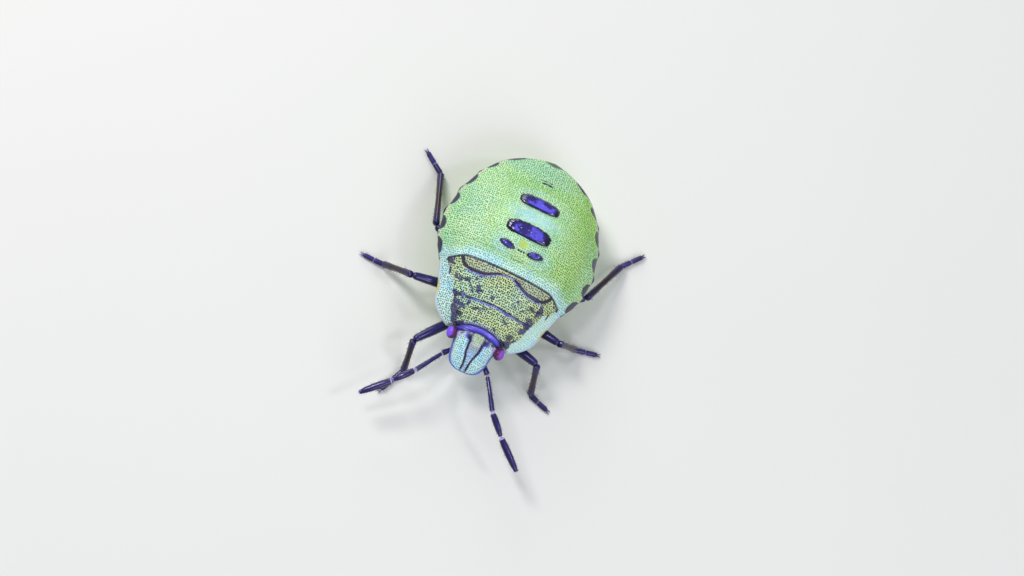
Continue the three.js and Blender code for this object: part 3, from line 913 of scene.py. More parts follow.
def abdomen_pattern(x, f):
    """Green with a pale band in front and round the gland plates, and dark marks on its edge."""
    v = plain_values(x)
    uneven = wobble(x, f, 0.03)
    width = along(TRUNK_WIDTH, f)
    side = np.abs(x)
    inward = width - side

    front_band = 1 - step(0.05, 0.55, metanotum_rear(x) - f + uneven)
    near_plates = strongest(
        0.5 * spot(x, f, (0, -0.86), (1.1, 0.55), soft=0.7),
        0.5 * spot(x, f, (0, -1.86), (1.0, 0.5), soft=0.7),
        0.6 * spot(side, f, (0.42, -0.25), (0.6, 0.4), soft=0.6))
    between = 0.8 * spot(x, f, (0, -1.35), (0.9, 0.34), soft=0.9)
    right_and_rear = strongest(0.36 * step(-0.2, -1.8, x), 0.4 * step(-1.9, -3.0, f)) * step(1.8, 0.2, x)
    edges = 0.3 * step(0.72, 0.9, side / width) * step(-2.6, -0.4, f)
    pale = np.clip(strongest(front_band, near_plates, between, right_and_rear, edges) + uneven, 0, 1)
    lime_spot = spot(x, f, (0, -0.44), (0.16, 0.1))
    by_dots = spot(x, f, (0, -0.12), (0.4, 0.22), soft=0.5)

    lines = strongest(*(band(f - segment_line(place, x, side / width), 0.006, 0.02)
                        for place in SEGMENT_LINES))
    flanks = band(side - width * 0.62, 0.3, 0.3) * step(-3, -1, f)
    v["olive"] = np.maximum(0.35 * lines + 0.25 * flanks, by_dots * 0.45) * (1 - lime_spot)

    marks = []
    for place, reach in EDGE_MARKS:
        rounding = np.sqrt(np.clip(1 - ((f - place) / reach) ** 2, 0, 1))
        depth = (0.14 + 0.05 * (x > 0)) * rounding + wobble(x, f, 0.008)
        marks.append(1 - step(-0.015, 0.025, inward - depth))
    tip = spot(x, f, (0, -3.46), (0.28, 0.1))
    v["dark"] = strongest(
        both_sides(x, f, ABDOMEN_DASHES), strongest(*marks) * step(0.5, 0.9, side), tip * 0.8)

    places = [place for place, _ in EDGE_MARKS]
    knobs = strongest(*(band(f - (low + high) / 2, 0.1, 0.08) * (1 - step(0.04, 0.16, inward))
                        for low, high in zip(places[1:], places[:-1])))
    v["warm"] = np.maximum(knobs * 0.3, 0.25 * lime_spot)
    v["pale"] = np.maximum(pale * (1 - lime_spot) * (1 - 0.5 * by_dots), knobs * 0.7)
    pits = np.clip(0.95 - 0.4 * near_plates - 0.7 * between - 0.2 * front_band, 0.2, 1)
    v["pit_amount"] = pits * (1 - v["dark"]) * (1 - lime_spot)
    return v


def outside_disc(x, f):
    """1 on the pale side margins of the thorax and 0 on its olive disc."""
    return 1 - step(-0.03, 0.05, along(DISC_WIDTH, f) - np.abs(x) + wobble(x, f, 0.03))


def disc_blotches(x, f):
    """Strongest near the disc's side edges, more on the right side, none outside it."""
    near_edge = 1 - step(0.1, 0.45, along(DISC_WIDTH, f) - np.abs(x))
    near_edge = near_edge * (1 - 0.55 * step(-0.3, 0.6, x))
    return (0.3 + 0.7 * near_edge) * (1 - outside_disc(x, f))


def thorax_values(x, f, rim_end, left_smoothness):
    """Blotches, pits, margins and rim that the front two plates of the thorax share."""
    v = plain_values(x)
    margin = outside_disc(x, f)
    rim = 1 - step(0.02, rim_end, along(TRUNK_WIDTH, f) - np.abs(x))
    v["blotch"] = disc_blotches(x, f)
    v["pit_amount"] = (1 - (0.22 + left_smoothness * (x > 0)) * margin) * (1 - rim)
    return v, margin, rim


def pronotum_pattern(x, f):
    """An olive disc with dark blotches, pale margins and a dark border behind."""
    v, margin, rim = thorax_values(x, f, 0.07, 0.5)
    behind_collar = collar_rear(x) - f
    before_rear = f - pronotum_rear(x) - wobble(x, f, 0.012)
    rear = band(before_rear, 0.045, 0.03) * (1 - margin)
    v["pale"] = strongest(margin, 0.5 * (1 - step(0.02, 0.14, behind_collar)))
    v["warm"] = rim * step(1.95, 1.6, f) * 0.9
    v["violet"] = band(before_rear - 0.07, 0.02, 0.04) * 0.6 * (1 - margin)
    v["dark"] = strongest(rear * 0.95, both_sides(x, f, PRONOTUM_BLOTCHES) * 0.85)
    # Painted highlight: the outer rim is painted a whitish lilac, as though catching the light; a thin
    # lilac line also runs behind the collar.
    v["lilac"] = np.maximum(0.5 * rim, 0.55 * band(behind_collar - 0.03, 0.012, 0.02))
    return v


def mesonotum_pattern(x, f):
    """Like the plate before it, with a dark vein on each side."""
    v, margin, rim = thorax_values(x, f, 0.06, 0.43)
    side = np.abs(x)
    before_rear = f - mesonotum_rear(x) - wobble(x, f, 0.01)
    inner_part = step(1.35, 1.1, side)
    vein_place = 1.3 - 0.5 * (side - 0.8) + 0.04 * np.sin(11 * side)
    vein = band(f - vein_place, 0.014, 0.02) * step(0.72, 0.82, side) * step(1.42, 1.32, side)
    v["pale"] = margin
    v["warm"] = rim * step(1.2, 1.4, f) * 0.8
    v["violet"] = band(before_rear - 0.05, 0.015, 0.03) * 0.6 * inner_part
    v["dark"] = strongest(band(before_rear, 0.03, 0.02) * inner_part,
                          both_sides(x, f, MESONOTUM_BLOTCHES) * 0.85, vein * 0.85)
    # Painted highlight: the outer rim is painted a whitish lilac, as though catching the light.
    v["lilac"] = 0.4 * rim
    return v


def metanotum_pattern(x, f):
    """A dark bordered lens on each side, between the wing pads and the abdomen."""
    v = plain_values(x)
    side = np.abs(x)
    margin = outside_disc(x, f)
    curl = band(along(DISC_WIDTH, f) - side, 0.025, 0.025)
    share = (f - metanotum_rear(x)) / np.maximum(mesonotum_rear(x) - metanotum_rear(x), 0.02)
    reach = np.hypot(np.maximum(side - 1.15, 0) / 0.3, share)
    lens = step(1.1, 0.9, reach)
    lens_edge = band(reach - 1, 0.1, 0.12) * step(0.1, 0.3, side)
    rear = band(f - metanotum_rear(x), 0.045, 0.03) * (1 - margin)
    v["dark"] = np.clip(rear + curl + lens_edge * (1 - margin) + 0.16 * lens, 0, 1) * 0.95
    v["pale"] = margin
    v["olive"] = np.full_like(x, 0.5)
    v["warm"] = 0.1 * lens
    v["pit_amount"] = 1 - 0.45 * margin
    v["lilac"] = 0.12 * lens
    v["blotch"] = disc_blotches(x, f) * (1 - 0.75 * lens)
    return v


def head_pattern(x, f):
    """Pale, with dark lines beside the clypeus, an olive crown and a violet outline."""
    v = plain_values(x)
    side = np.abs(x)
    inward = along(HEAD_WIDTH, f) - side
    uneven = wobble(x, f, 0.012)
    clypeus = clypeus_half(f)
    on_clypeus = step(CLYPEUS_REAR, 2.8, f)
    bow = 0.2 + 0.05 * np.sin(np.clip((CLYPEUS_REAR - f) / 0.3, 0, 1) * math.pi)
    line_place = np.where(f > CLYPEUS_REAR, clypeus, bow)
    thick = 0.022 + 0.03 * step(2.75, 2.55, f)
    line = band(side - line_place + uneven, thick, 0.024) * (1 - step(3.42, 3.5, f))
    crown = step(0.0, 0.04, line_place - side) * step(2.98, 2.82, f)
    outline = 1 - step(0.02, 0.09, inward + uneven)
    beside = step(0.0, 0.03, side - bow) * (1 - step(0.1, 0.2, side - bow)) * step(2.68, 2.58, f)
    glow = band(side - line_place, thick + 0.03, 0.03) * step(3.1, 2.7, f)
    rear = 1 - step(0.02, 0.07, f - collar_front(x))
    v["violet"] = strongest(outline * 0.85 + beside * 0.8 + 0.5 * glow,
                            0.28 * step(0.02, 0.0, side - clypeus) * on_clypeus)
    v["lilac"] = spot(side, f, (0.6, 2.56), (0.11, 0.14), soft=0.5) * 0.9
    v["warm"] = 0.2 * crown
    v["olive"] = np.clip(crown + 0.25 * step(0.0, 0.05, clypeus - side) * on_clypeus, 0, 1)
    v["dark"] = strongest(line, both_sides(x, f, HEAD_BLOTCHES) * 0.9, rear * 0.95, outline * 0.35,
                          crown * 0.15, beside * (0.3 + 0.3 * (x > 0)))
    v["pit_amount"] = (1 - step(0.0, 0.06, 0.05 - inward)) * 0.9 * (1 - v["dark"])
    return v


# Operators

class BuildAbdomen(bpy.types.Operator):
    """Build the soft abdomen as one skin with its segments and pits"""
    bl_idname = "bug.build_abdomen"
    bl_label = "Abdomen"

    def execute(self, context):
        detail = context.scene.bug_look.detail
        x, f = plate_grid(moved(metanotum_rear, 0.1), straight(ABDOMEN_END),
                          int(200 * detail), int(240 * detail))
        share = share_of_width(x, f)
        relief = np.zeros_like(x)
        for place in SEGMENT_LINES:
            line = f - segment_line(place, x, share)
            relief += groove(line, 0.022, 0.035) * (1 - 0.6 * step(0.93, 1.0, share))
        relief += 0.02 * wobble(x * 0.35, f * 0.35)
        relief += groove(share - 0.86, 0.03, 0.045) * step(-3.3, -2.9, f)
        for side, place, half, reach in GLANDS.values():
            relief += 0.02 * spot(
                np.abs(x), f, (abs(side), place), (half + 0.25, reach + 0.25), soft=0.6)
        scallop = strongest(*(band(f - place, 0.1, 0.34) for place, _ in EDGE_MARKS))
        x = x * (1 - 0.026 * (scallop - 0.6) * share ** 6)
        edge = along(TRUNK_EDGE, f)
        top = back_height(x, f) + relief * step(1.0, 0.9, share) + 0.012
        top = top - 0.09 * step(-0.02, 0.03, f - metanotum_rear(x))
        top = np.maximum(top, edge + 0.035)
        bottom = np.minimum(belly_height(x, f), edge - 0.035)
        for place in SEGMENT_LINES:
            bottom = bottom - groove(f - place + 0.1 * share, 0.03, 0.03) * step(1.0, 0.94, share)
        piece = shell("abdomen", x, f, top, bottom, abdomen_pattern(x, f))
        backs = [f"abdomen_back_{i}" for i in range(1, 8)]
        settle_shell(piece, "abdomen", "green_shell", "abdomen_underside", *backs)
        return {"FINISHED"}


def gland_outline(half, sides):
    """Outline of a gland plate of half size 1, crimped along its edge, widest at the rear."""
    wide = half > 0.5
    square = 3.1 if wide else 1.75
    crimp = 0.045 if wide else 0.12
    angle = np.linspace(0, 2 * math.pi, sides, endpoint=False)
    cosine, sine = np.cos(angle), np.sin(angle)
    size = (np.abs(cosine) ** square + np.abs(sine) ** square) ** (-1 / square)
    across, ahead = size * cosine, size * sine
    rearward = np.clip(-ahead, 0, 1)
    ahead = np.where(ahead > 0, ahead * (0.9 + 0.08 * np.abs(across) ** 2),
                     ahead * (1.06 - 0.1 * across * across))
    crenel = 1 + crimp * (0.4 + rearward) * np.sin(angle * 23) * np.sin(angle * 9 + 1)
    return across * crenel, ahead * crenel


def make_gland_plate(name, detail):
    """A swollen glossy plate with a crimped edge, a dent and two pores, and a painted sheen in its middle.
    """
    side, place, half, reach = GLANDS[name]
    wide = half > 0.5
    rings, sides = int(22 * detail), int(110 * detail)
    across, ahead = gland_outline(half, sides)
    share = np.sin(np.linspace(0, 1, rings) * math.pi / 2)[1:, None]
    x = side + half * share * across
    f = place + reach * share * ahead
    if side:
        f = f - 0.15 * (np.abs(x) - abs(side))
    relief = 0.004 * np.sin(34 * x + 5 * f) * np.sin(41 * f + 3 * x) * (1 - share)
    if wide:
        to_pore = np.hypot(np.abs(x - side) - half * 0.45, f - place - 0.02)
        relief = relief + groove(x - side, 0.02, 0.05) * (1 - share) + groove(to_pore, 0.03, 0.035)
    swell = 0.11 * np.sqrt(np.clip(1 - share ** 3, 0, 1))
    back = back_height(x, f)
    middle = back_height(side, place)
    points = np.concatenate([
        np.stack([x, f, back + swell + relief + 0.03], -1).reshape(-1, 3),
        [[side, place, middle + 0.06]],
        np.stack([x[-1], f[-1], back[-1] - 0.09], -1),
        [[side, place, middle - 0.09]],
    ])
    count = (rings - 1) * sides
    outer, base = count - sides, count + 1
    faces = grid_faces(rings - 1, sides, closed=True)
    for c in range(sides):
        n = (c + 1) % sides
        faces.append((n, c, count))
        faces.append((outer + c, outer + n, base + n, base + c))
        faces.append((base + c, base + n, base + sides))
    # Painted sheen: the middle of the plate is painted lighter violet and its rim left dark, as reflected
    # light would fall.
    shine = 0.9 if wide else 0.4
    lit = np.zeros(len(points))
    lit[:count] = (step(0.84, 0.6, share) * (shine + wobble(x, f, 0.3))).ravel()
    lit[count] = shine
    zero = np.zeros(len(points))
    shown = {"warm": zero, "pale": zero, "lit": np.clip(lit, 0, 1)}
    made = new_piece(name.replace("gland_plate", "gland_shield"), points, faces, shown)
    turn_outward(made)
    return made


class BuildGlandPlates(bpy.types.Operator):
    """Build the glossy dark scent gland plates"""
    bl_idname = "bug.build_gland_plates"
    bl_label = "Gland Plates"

    def execute(self, context):
        for name in GLANDS:
            piece = make_gland_plate(name, context.scene.bug_look.detail)
            settle(piece, "plates", "dark_shell", name)
        return {"FINISHED"}


def margin_relief(x, f, depth, seam):
    """The pale side margins lie lower than the disc, and a fine seam runs down the middle."""
    inward = along(TRUNK_WIDTH, f) - np.abs(x)
    hollow = (1 - step(0.3, 0.5, inward)) * step(0.02, 0.3, inward)
    return groove(x, seam, 0.03) - depth * hollow


def pronotum_relief(x, f):
    swelling = spot(np.abs(x), f, (0.55, 2.0), (0.42, 0.16), 0.1, 0.6)
    return margin_relief(x, f, 0.05, 0.012) + 0.025 * swelling


def mesonotum_relief(x, f):
    return margin_relief(x, f, 0.04, 0.01)


def no_relief(x, f):
    return np.zeros_like(x)


def make_plate(name, front, rear, pattern, rows, columns, lift, relief):
    """A thin plate of the thorax's back with rounded front and rear borders."""
    x, f = plate_grid(front, rear, rows, columns)
    top = back_height(x, f) + lift - edge_drop(np.minimum(front(x) - f, f - rear(x)), 0.05)
    edge = along(TRUNK_EDGE, f)
    top = np.maximum(top + relief(x, f), edge + 0.05)
    thin = np.maximum(top - 0.09, edge - 0.02)
    bottom = np.where(share_of_width(x, f) > 0.97, edge - 0.02, thin)
    return shell(name, x, f, top, np.minimum(bottom, top - 0.03), pattern(x, f))


class BuildThorax(bpy.types.Operator):
    """Build the three plates of the thorax's back, and its underside"""
    bl_idname = "bug.build_thorax"
    bl_label = "Thorax"

    def execute(self, context):
        detail = context.scene.bug_look.detail
        tuck = 0.06
        plates = (
            ("pronotum", collar_rear, pronotum_rear, pronotum_pattern, 70, 0.045, pronotum_relief),
            ("mesonotum", moved(pronotum_rear, tuck), mesonotum_rear, mesonotum_pattern, 60, 0.03,
             mesonotum_relief),
            ("metanotum", moved(mesonotum_rear, tuck), metanotum_rear, metanotum_pattern, 30, 0.018,
             no_relief),
        )
        for node, front, rear, pattern, rows, lift, relief in plates:
            piece = make_plate(f"{node}_plate", front, rear, pattern, int(rows * detail),
                               int(240 * detail), lift, relief)
            settle_shell(piece, "thorax", "olive_shell", node)

        x, f = plate_grid(collar_rear, moved(metanotum_rear, -0.05), int(60 * detail), int(90 * detail))
        edge = along(TRUNK_EDGE, f)
        bottom = belly_height(x, f)
        for place in THORAX_LINES_BELOW:
            bottom = bottom - groove(f - place + 0.12 * share_of_width(x, f), 0.05, 0.03)
        top = np.maximum(edge - 0.01, bottom + 0.03)
        bottom = np.minimum(bottom, edge - 0.04)
        piece = shell("thorax_underside_skin", x, f, top, bottom, plain_values(x))
        settle(piece, "abdomen", "underside", "thorax_underside")
        return {"FINISHED"}


def make_head(detail):
    """The flat head capsule with its raised clypeus, crown and bases of the eyes."""
    x, f = plate_grid(straight(HEAD_END), collar_front, int(130 * detail), int(150 * detail), HEAD_WIDTH)
    side = np.abs(x)
    line = clypeus_half(f)
    swell = np.sqrt(np.clip(1 - (side / (line + 0.01)) ** 2, 0, 1))
    relief = 0.045 * swell * step(2.6, 2.8, f) + groove(side - line, 0.035, 0.025) * step(2.55, 2.75, f)
    relief += 0.03 * spot(side, f, (0.4, 3.0), (0.25, 0.45), 0, 0.6)
    relief += 0.03 * spot(x, f, (0, 2.5), (0.3, 0.3), 0, 0.9)
    relief += 0.05 * spot(side, f, (0.68, 2.6), (0.16, 0.2), 0, 0.6)
    edge = along(HEAD_EDGE, f)
    top = head_height(x, f) + relief * step(1.0, 0.85, share_of_width(x, f, HEAD_WIDTH)) + 0.01
    top = np.maximum(top - edge_drop(f - collar_front(x), 0.05), edge + 0.03)
    bottom = np.minimum(head_height(x, f, HEAD_BELLY), edge - 0.03)
    f = f + groove(side - 0.1, 0.03, 0.03) * step(3.42, 3.5, f)
    return shell("head_capsule", x, f, top, bottom, head_pattern(x, f))


def make_collar(detail):
    """The violet ring between the head and the thorax, with a painted highlight: a brighter violet band
    across it.
    """
    x, f = plate_grid(moved(collar_front, 0.08), moved(collar_rear, -0.1),
                      int(26 * detail), int(70 * detail), HEAD_WIDTH)
    top = head_height(x, f) - 0.03 + 0.012 * np.sin(f * 40)
    bottom = np.minimum(head_height(x, f, HEAD_BELLY), top - 0.04)
    before = f - collar_front(x)
    values = plain_values(x)
    # Painted highlight: the collar is painted lighter violet all over, brightest in a band across its
    # middle part.
    values["lit"] = 0.9 * band(before + 0.13, 0.04, 0.05) * step(0.7, 0.5, np.abs(x)) + 0.45
    values["pale"] = 0.22 * band(before + 0.15, 0.02, 0.04)
    return shell("collar", x, f, top, bottom, values)


def make_eye(name, side):
    """A faceted ball with painted shade: darker on the side that is turned to the head and downwards."""
    work = bmesh.new()
    bmesh.ops.create_icosphere(work, subdivisions=4, radius=EYE_RADIUS)
    points = np.array([v.co[:] for v in work.verts])
    faces = [tuple(v.index for v in face.verts) for face in work.faces]
    work.free()
    centre = np.array((side * EYE[0], EYE[1], EYE[2]))
    # Painted shade: the eye is painted dark everywhere but the part facing out and up.
    outer = points @ np.array((side * 0.75, 0.15, 0.64)) / EYE_RADIUS
    flattened = points * np.array((0.85, 1.08, 0.95))
    eye = new_piece(name, flattened + centre, faces, {"dark": 1 - step(0.35, 0.78, outer)})
    turn_outward(eye)
    run_tree(eye, eye_tree(), {"Facet height": 0.0000035, "Material": finish_named("eyes")})
    return eye


def build_limb(name, node, joints, radius, finish="limbs", slot="leg_shell", **shape):
    """A tube with its finish, settled in place of its node if it has one."""
    settle(tube(name, joints, radius, **shape), finish, slot, *([node] if node else []))


def beak_radius(t):
    """Tapers to the tip and is pinched at three joints."""
    radius = 0.1 * (1 - 0.62 * t) * round_ends(t, 0.03, 0.03)
    for joint in (0.24, 0.5, 0.78):
        radius = radius * (1 - 0.28 * ring_at(t, joint, 0.018))
    return radius


class BuildHead(bpy.types.Operator):
    """Build the head capsule, collar, eyes and beak"""
    bl_idname = "bug.build_head"
    bl_label = "Head"

    def execute(self, context):
        detail = context.scene.bug_look.detail
        settle_shell(make_head(detail), "head", "pale_shell", "head")
        settle(make_collar(detail), "collar", "dark_shell", "neck")
        for name, side in (("left", 1), ("right", -1)):
            settle(make_eye(f"compound_eye_{name}", side), None, "eye", f"eye_{name}")
        build_limb("beak_sheath", "beak", BEAK, beak_radius, "feet", "underside",
                   rings=70, sides=18, pale=lambda t: 0.8 * (t < 0.75))
        return {"FINISHED"}


def feeler_radius(full, spindle):
    """Radius along one joint: the outer two are spindles and the inner two widen outwards."""
    def radius(t):
        ends = full * round_ends(t, 0.07, 0.05)
        if spindle:
            return ends * (0.62 + 0.38 * np.sin(np.clip(t * 1.05 + 0.05, 0, 1) * math.pi) ** 0.6)
        return ends * (0.72 + 0.28 * t)
    return radius


def feeler_rings(t):
    """Pale rings at both ends of a joint."""
    return 0.9 * (t < 0.05) + 0.8 * (t > 0.965)


class BuildFeelers(bpy.types.Operator):
    """Build the four jointed feelers"""
    bl_idname = "bug.build_feelers"
    bl_label = "Feelers"

    def execute(self, context):
        for name, joints in FEELERS.items():
            for i, full in enumerate(FEELER_RADII):
                start, end = np.array(joints[i]), np.array(joints[i + 1])
                gap = (end - start) / np.linalg.norm(end - start) * 0.012
                build_limb(
                    f"feeler_{name}_{i + 1}", f"antenna_{name}_{i + 1}", (start + gap, end - gap * 0.2),
                    feeler_radius(full, spindle=i >= 2), rings=46, sides=20,
                    bend=0.03 if i in (1, 2) else 0.0, pale=feeler_rings if i else nowhere)
        return {"FINISHED"}


def hip_radius(t):
    return 0.24 * (1 - 0.2 * t) * round_ends(t, 0.1, 0.35)


def thigh_radius(t):
    swell = np.sin(np.clip(t * 1.08, 0, 1) * math.pi) ** 0.8
    return (0.115 + 0.035 * swell) * round_ends(t, 0.05, 0.07)


def shin_radius(t):
    return (0.116 + 0.01 * np.cos(t * math.pi * 2)) * round_ends(t, 0.05, 0.05)


def foot_radius(t):
    return 0.084 * round_ends(t, 0.05, 0.08) * (1 - 0.3 * ring_at(t, 0.47, 0.03)) * (1 - 0.15 * t)


def claw_radius(t):
    return 0.017 * (1 - 0.85 * t) * round_ends(t, 0.05, 0.05)


def pad_radius(t):
    return 0.03 * round_ends(t, 0.3, 0.5)


def build_leg(name, hip, knee, ankle, tip):
    """Hip, thigh and shin of one leg, then its foot with claws and pads."""
    root = hip + np.array((-0.05 * np.sign(hip[0]), 0, 0.3))
    build_limb(f"{name}_hip", f"{name}_coxa", (root, hip + (knee - hip) * 0.04), hip_radius,
               rings=24, sides=22, up=(0, 1, 0), pale=lambda t: 0.7 * (t < 0.5))
    build_limb(f"{name}_thigh", f"{name}_femur", (hip, knee), thigh_radius,
               rings=60, sides=22, bend=0.05, pale=lambda t: 0.55 * ring_at(t, 0.08, 0.05))
    build_limb(f"{name}_shin", f"{name}_tibia", (knee, ankle), shin_radius,
               rings=60, sides=24, flat=0.86, bend=0.03, warm=lambda t: 0.95 * np.sin(t * math.pi))

    heel = np.array((ankle[0], ankle[1], 0.115))
    end = np.array((tip[0], tip[1], 0.085))
    split = ankle + (tip - ankle) * 0.44
    split[2] = end[2]
    joints = (heel, split, split + (end - split) * 0.9)
    build_limb(f"{name}_foot", f"{name}_tarsus", joints, foot_radius, "feet", "tarsus_shell",
               rings=56, sides=20, pale=lambda t: 0.5 * ring_at(t, 0.47, 0.02))

    forward = (end - split) / np.linalg.norm(end - split)
    across = np.cross(forward, (0, 0, 1))
    for number, turn in ((1, -1), (2, 1)):
        claw = [end + forward * ahead + across * aside * turn
                for ahead, aside in ((-0.08, 0.02), (0.04, 0.045), (0.09, 0.04))]
        for point, height in zip(claw, (0.09, 0.085, 0.012)):
            point[2] = height
        build_limb(f"{name}_claw_{number}", None, claw, claw_radius, rings=18, sides=10)
        pad_end = end + forward * 0.03 + across * 0.03 * turn
        pad_end[2] = 0.03
        build_limb(f"{name}_pad_{number}", None, (end - forward * 0.04, pad_end), pad_radius,
                   "feet", "tarsus_shell", rings=14, sides=12, pale=lambda t: t * 0 + 0.6)


class BuildLegs(bpy.types.Operator):
    """Build the six legs with hips, thighs, shins, feet and claws"""
    bl_idname = "bug.build_legs"
    bl_label = "Legs"

    def execute(self, context):
        for name, joints in LEGS.items():
            build_leg(name, *(np.array(joint, dtype=float) for joint in joints))
        return {"FINISHED"}


def joined_copy(name, sources):
    """One mesh object made of copies of the sources' surfaces, with their lie attribute."""
    points, lies, faces, first = [], [], [], 0
    for source in sources:
        mesh = source.data
        count = len(mesh.vertices)
        points.append(vectors_of(mesh.vertices, "co", count))
        lies.append(vectors_of(mesh.attributes["lie"].data, "vector", count))
        faces += [tuple(v + first for v in face.vertices) for face in mesh.polygons]
        first += count
    joined = bpy.data.meshes.new(name)
    joined.from_pydata(np.concatenate(points).tolist(), [], faces)
    layer = joined.attributes.new("lie", "FLOAT_VECTOR", "POINT")
    layer.data.foreach_set("vector", np.concatenate(lies).astype(np.float32).ravel())
    return new_object(name, joined)


class BuildBristles(bpy.types.Operator):
    """Build the fine bristles of the feelers and legs"""
    bl_idname = "bug.build_bristles"
    bl_label = "Bristles"

    def execute(self, context):
        look = context.scene.bug_look
        # Name, what it grows on, share of the bristle length, number per square metre
        groups = (
            ("feeler_bristles", "feeler_", 0.7, 190e6),
            ("leg_bristles", "_shin", 1.0, 75e6),
            ("foot_bristles", "_foot", 0.7, 230e6),
            ("thigh_bristles", "_thigh", 0.6, 60e6),
        )
        for name, part, length, density in groups:
            sources = [piece for piece in context.scene.objects
                       if part in piece.name and piece.type == "MESH" and "lie" in piece.data.attributes]
            piece = joined_copy(name, sources)
            run_tree(piece, bristle_tree(), {
                "Bristles per area": density * look.detail ** 2,
                "Length": look.bristle_length * length,
                "Thickness": look.bristle_thickness, "Seed": 11, "Material": finish_named("bristles")})
            map_bristles(piece)
            settle(piece, None, "leg_shell")
        return {"FINISHED"}


def place_lights(scene):
    """A pale sky and the studio lights, all turned to the bug."""
    world = bpy.data.worlds.new("studio")
    scene.world = world
    world.use_nodes = True
    sky = world.node_tree.nodes["Background"]
    sky.inputs["Color"].default_value = SKY_COLOUR
    sky.inputs["Strength"].default_value = SKY_STRENGTH
    aim = Vector((MIDDLE.x, MIDDLE.y, LIGHT_AIM_HEIGHT * MM))
    for name, place, width, power, colour in LIGHTS:
        data = bpy.data.lights.new(name, "AREA")
        data.shape = "DISK"
        data.size = width
        data.energy = power
        data.color = colour
        lamp = new_object(name, data)
        lamp.location = aim + Vector(place)
        lamp.rotation_euler = (-Vector(place)).to_track_quat("-Z", "Y").to_euler()


def place_camera(scene):
    """The photo's view: from above and a little ahead, with the head towards the lower left."""
    view = Vector(VIEW).normalized()
    roll = math.radians(ROLL_DEGREES)
    ahead = (Vector((0, 1, 0)) - view * view.y).normalized()
    aside = ahead.cross(view)
    up = ahead * math.cos(roll) - aside * math.sin(roll)
    right = up.cross(view)
    pixel = MM_ACROSS / PICTURE_WIDTH
    aim = Vector((MIDDLE.x, MIDDLE.y, AIM_HEIGHT * MM))
    aim = aim + right * (AIM_RIGHT_PIXELS * pixel * MM) - up * (AIM_DOWN_PIXELS * pixel * MM)
    data = bpy.data.cameras.new("camera")
    data.lens = LENS
    data.sensor_width = SENSOR
    data.clip_start = 0.001
    data.clip_end = 10.0
    place = aim + view * (MM_ACROSS * MM * LENS / SENSOR)
    camera = new_object("camera", data)
    camera.matrix_world = Matrix((
        (right.x, up.x, view.x, place.x),
        (right.y, up.y, view.y, place.y),
        (right.z, up.z, view.z, place.z),
        (0, 0, 0, 1),
    ))
    scene.camera = camera
    scene.view_settings.view_transform = "Standard"


class BuildStage(bpy.types.Operator):
    """Set up the pale floor, soft lights and the camera"""
    bl_idname = "bug.build_stage"
    bl_label = "Stage"

    def execute(self, context):
        corners = ((-1, -1), (1, -1), (1, 1), (-1, 1))
        mesh = bpy.data.meshes.new("floor")
        mesh.from_pydata([(x * FLOOR_HALF, y * FLOOR_HALF, 0) for x, y in corners], [], [(0, 1, 2, 3)])
        mesh.materials.append(finish_named("floor"))
        floor = new_object("floor", mesh)
        place_lights(context.scene)
        place_camera(context.scene)
        return {"FINISHED"}


# Settings and panel

def colour_property(name, description, default):
    return bpy.props.FloatVectorProperty(
        name=name, description=description, default=default, subtype="COLOR", size=3, min=0.0, max=1.0)


def length_property(name, description, default):
    return bpy.props.FloatProperty(
        name=name, description=description, default=default, unit="LENGTH", precision=6)


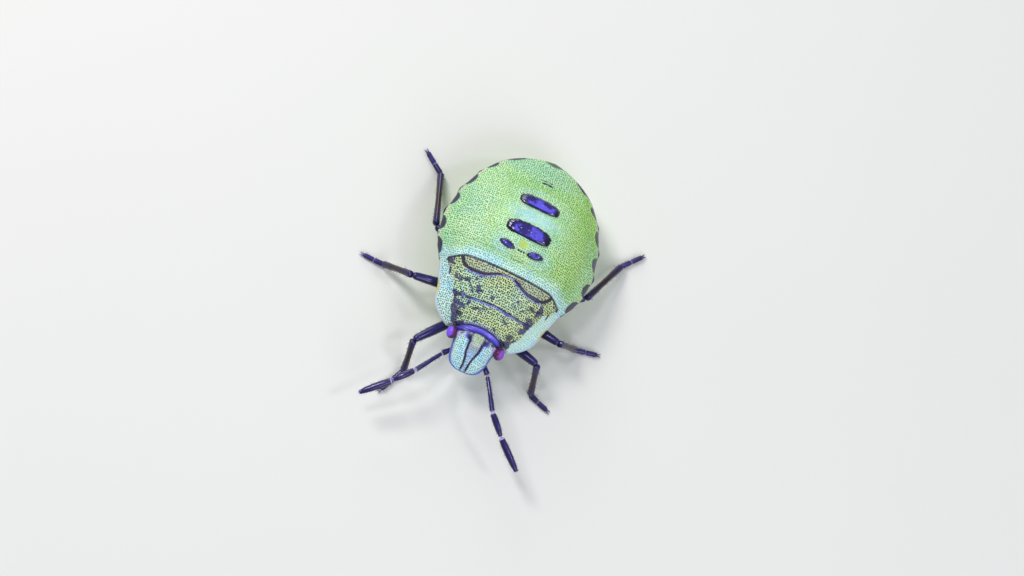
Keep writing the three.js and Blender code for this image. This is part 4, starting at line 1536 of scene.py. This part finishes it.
class BugLook(bpy.types.PropertyGroup):
    """Sizes and colours of the bug"""
    detail: bpy.props.FloatProperty(
        name="Detail", description="Fineness of the shell meshes", default=1.0,
        subtype="FACTOR", min=0.2, max=2.0)
    pits_per_mm: bpy.props.FloatProperty(
        name="Pits per mm", description="How closely the shell is pitted", default=15.0, min=1.0)
    pit_depth: length_property("Pit Depth", "Depth of the pits in the shell", 0.000012)
    bristle_length: length_property("Bristle Length", "Length of a leg bristle", 0.00011)
    bristle_thickness: length_property(
        "Bristle Thickness", "Radius of a bristle at its root", 0.0000045)
    green: colour_property("Green", "Main green of the abdomen", (0.42, 0.77, 0.19))
    green_deep: colour_property("Deep Green", "Second green of the abdomen", (0.34, 0.68, 0.08))
    pale: colour_property("Pale", "Pale bluish white of the shell", (0.63, 0.96, 0.84))
    pale_blue: colour_property("Pale Blue", "Second pale colour of the head", (0.44, 0.82, 0.98))
    olive: colour_property("Olive", "Olive of the thorax", (0.58, 0.74, 0.34))
    olive_deep: colour_property("Deep Olive", "Second olive of the thorax", (0.48, 0.76, 0.56))
    rim: colour_property("Rim", "Warm rim of the shell", (0.72, 0.52, 0.16))
    violet: colour_property("Violet Black", "Dark plates, lines and limbs", (0.008, 0.005, 0.030))
    # The same violet paints the shell's violet marks and the painted sheen on limbs, gland plates and
    # collar.
    violet_and_sheen: colour_property("Violet", "Lighter violet in the plates and limbs", (0.13, 0.11, 0.85))
    line: colour_property("Line", "Dark lines and marks of the shell", (0.012, 0.006, 0.05))
    brown: colour_property("Brown", "Middle of the shins", (0.03, 0.016, 0.008))
    # Also the whitish lilac of the shell's lilac marks and of the painted rim highlight on the thorax.
    joint: colour_property("Joint", "Pale joints of the limbs", (0.56, 0.44, 0.86))
    eye: colour_property("Eye", "Reddish purple of the eyes", (0.36, 0.05, 0.36))
    eye_glow: colour_property("Eye Glow", "Bluer part of the eyes", (0.24, 0.09, 0.96))


STEPS = (BuildAbdomen, BuildGlandPlates, BuildThorax, BuildHead, BuildFeelers, BuildLegs,
         BuildBristles, BuildStage)


class BugPanel(bpy.types.Panel):
    """Sizes, colours and building steps"""
    bl_idname = "VIEW3D_PT_bug"
    bl_label = "Shield Bug Nymph"
    bl_space_type = "VIEW_3D"
    bl_region_type = "UI"
    bl_category = "Bug"

    def draw(self, context):
        look = context.scene.bug_look
        for key in look.__annotations__:
            self.layout.prop(look, key)
        for step_class in STEPS:
            self.layout.operator(step_class.bl_idname)


def register():
    for kind in (BugLook, *STEPS, BugPanel):
        bpy.utils.register_class(kind)
    bpy.types.Scene.bug_look = bpy.props.PointerProperty(type=BugLook)


def unregister():
    del bpy.types.Scene.bug_look
    for kind in reversed((BugLook, *STEPS, BugPanel)):
        bpy.utils.unregister_class(kind)


def main():
    register()
    bpy.ops.bug.build_abdomen()
    bpy.ops.bug.build_gland_plates()
    bpy.ops.bug.build_thorax()
    bpy.ops.bug.build_head()
    bpy.ops.bug.build_feelers()
    bpy.ops.bug.build_legs()
    bpy.ops.bug.build_bristles()
    bpy.ops.bug.build_stage()


if __name__ == "__main__":
    main()
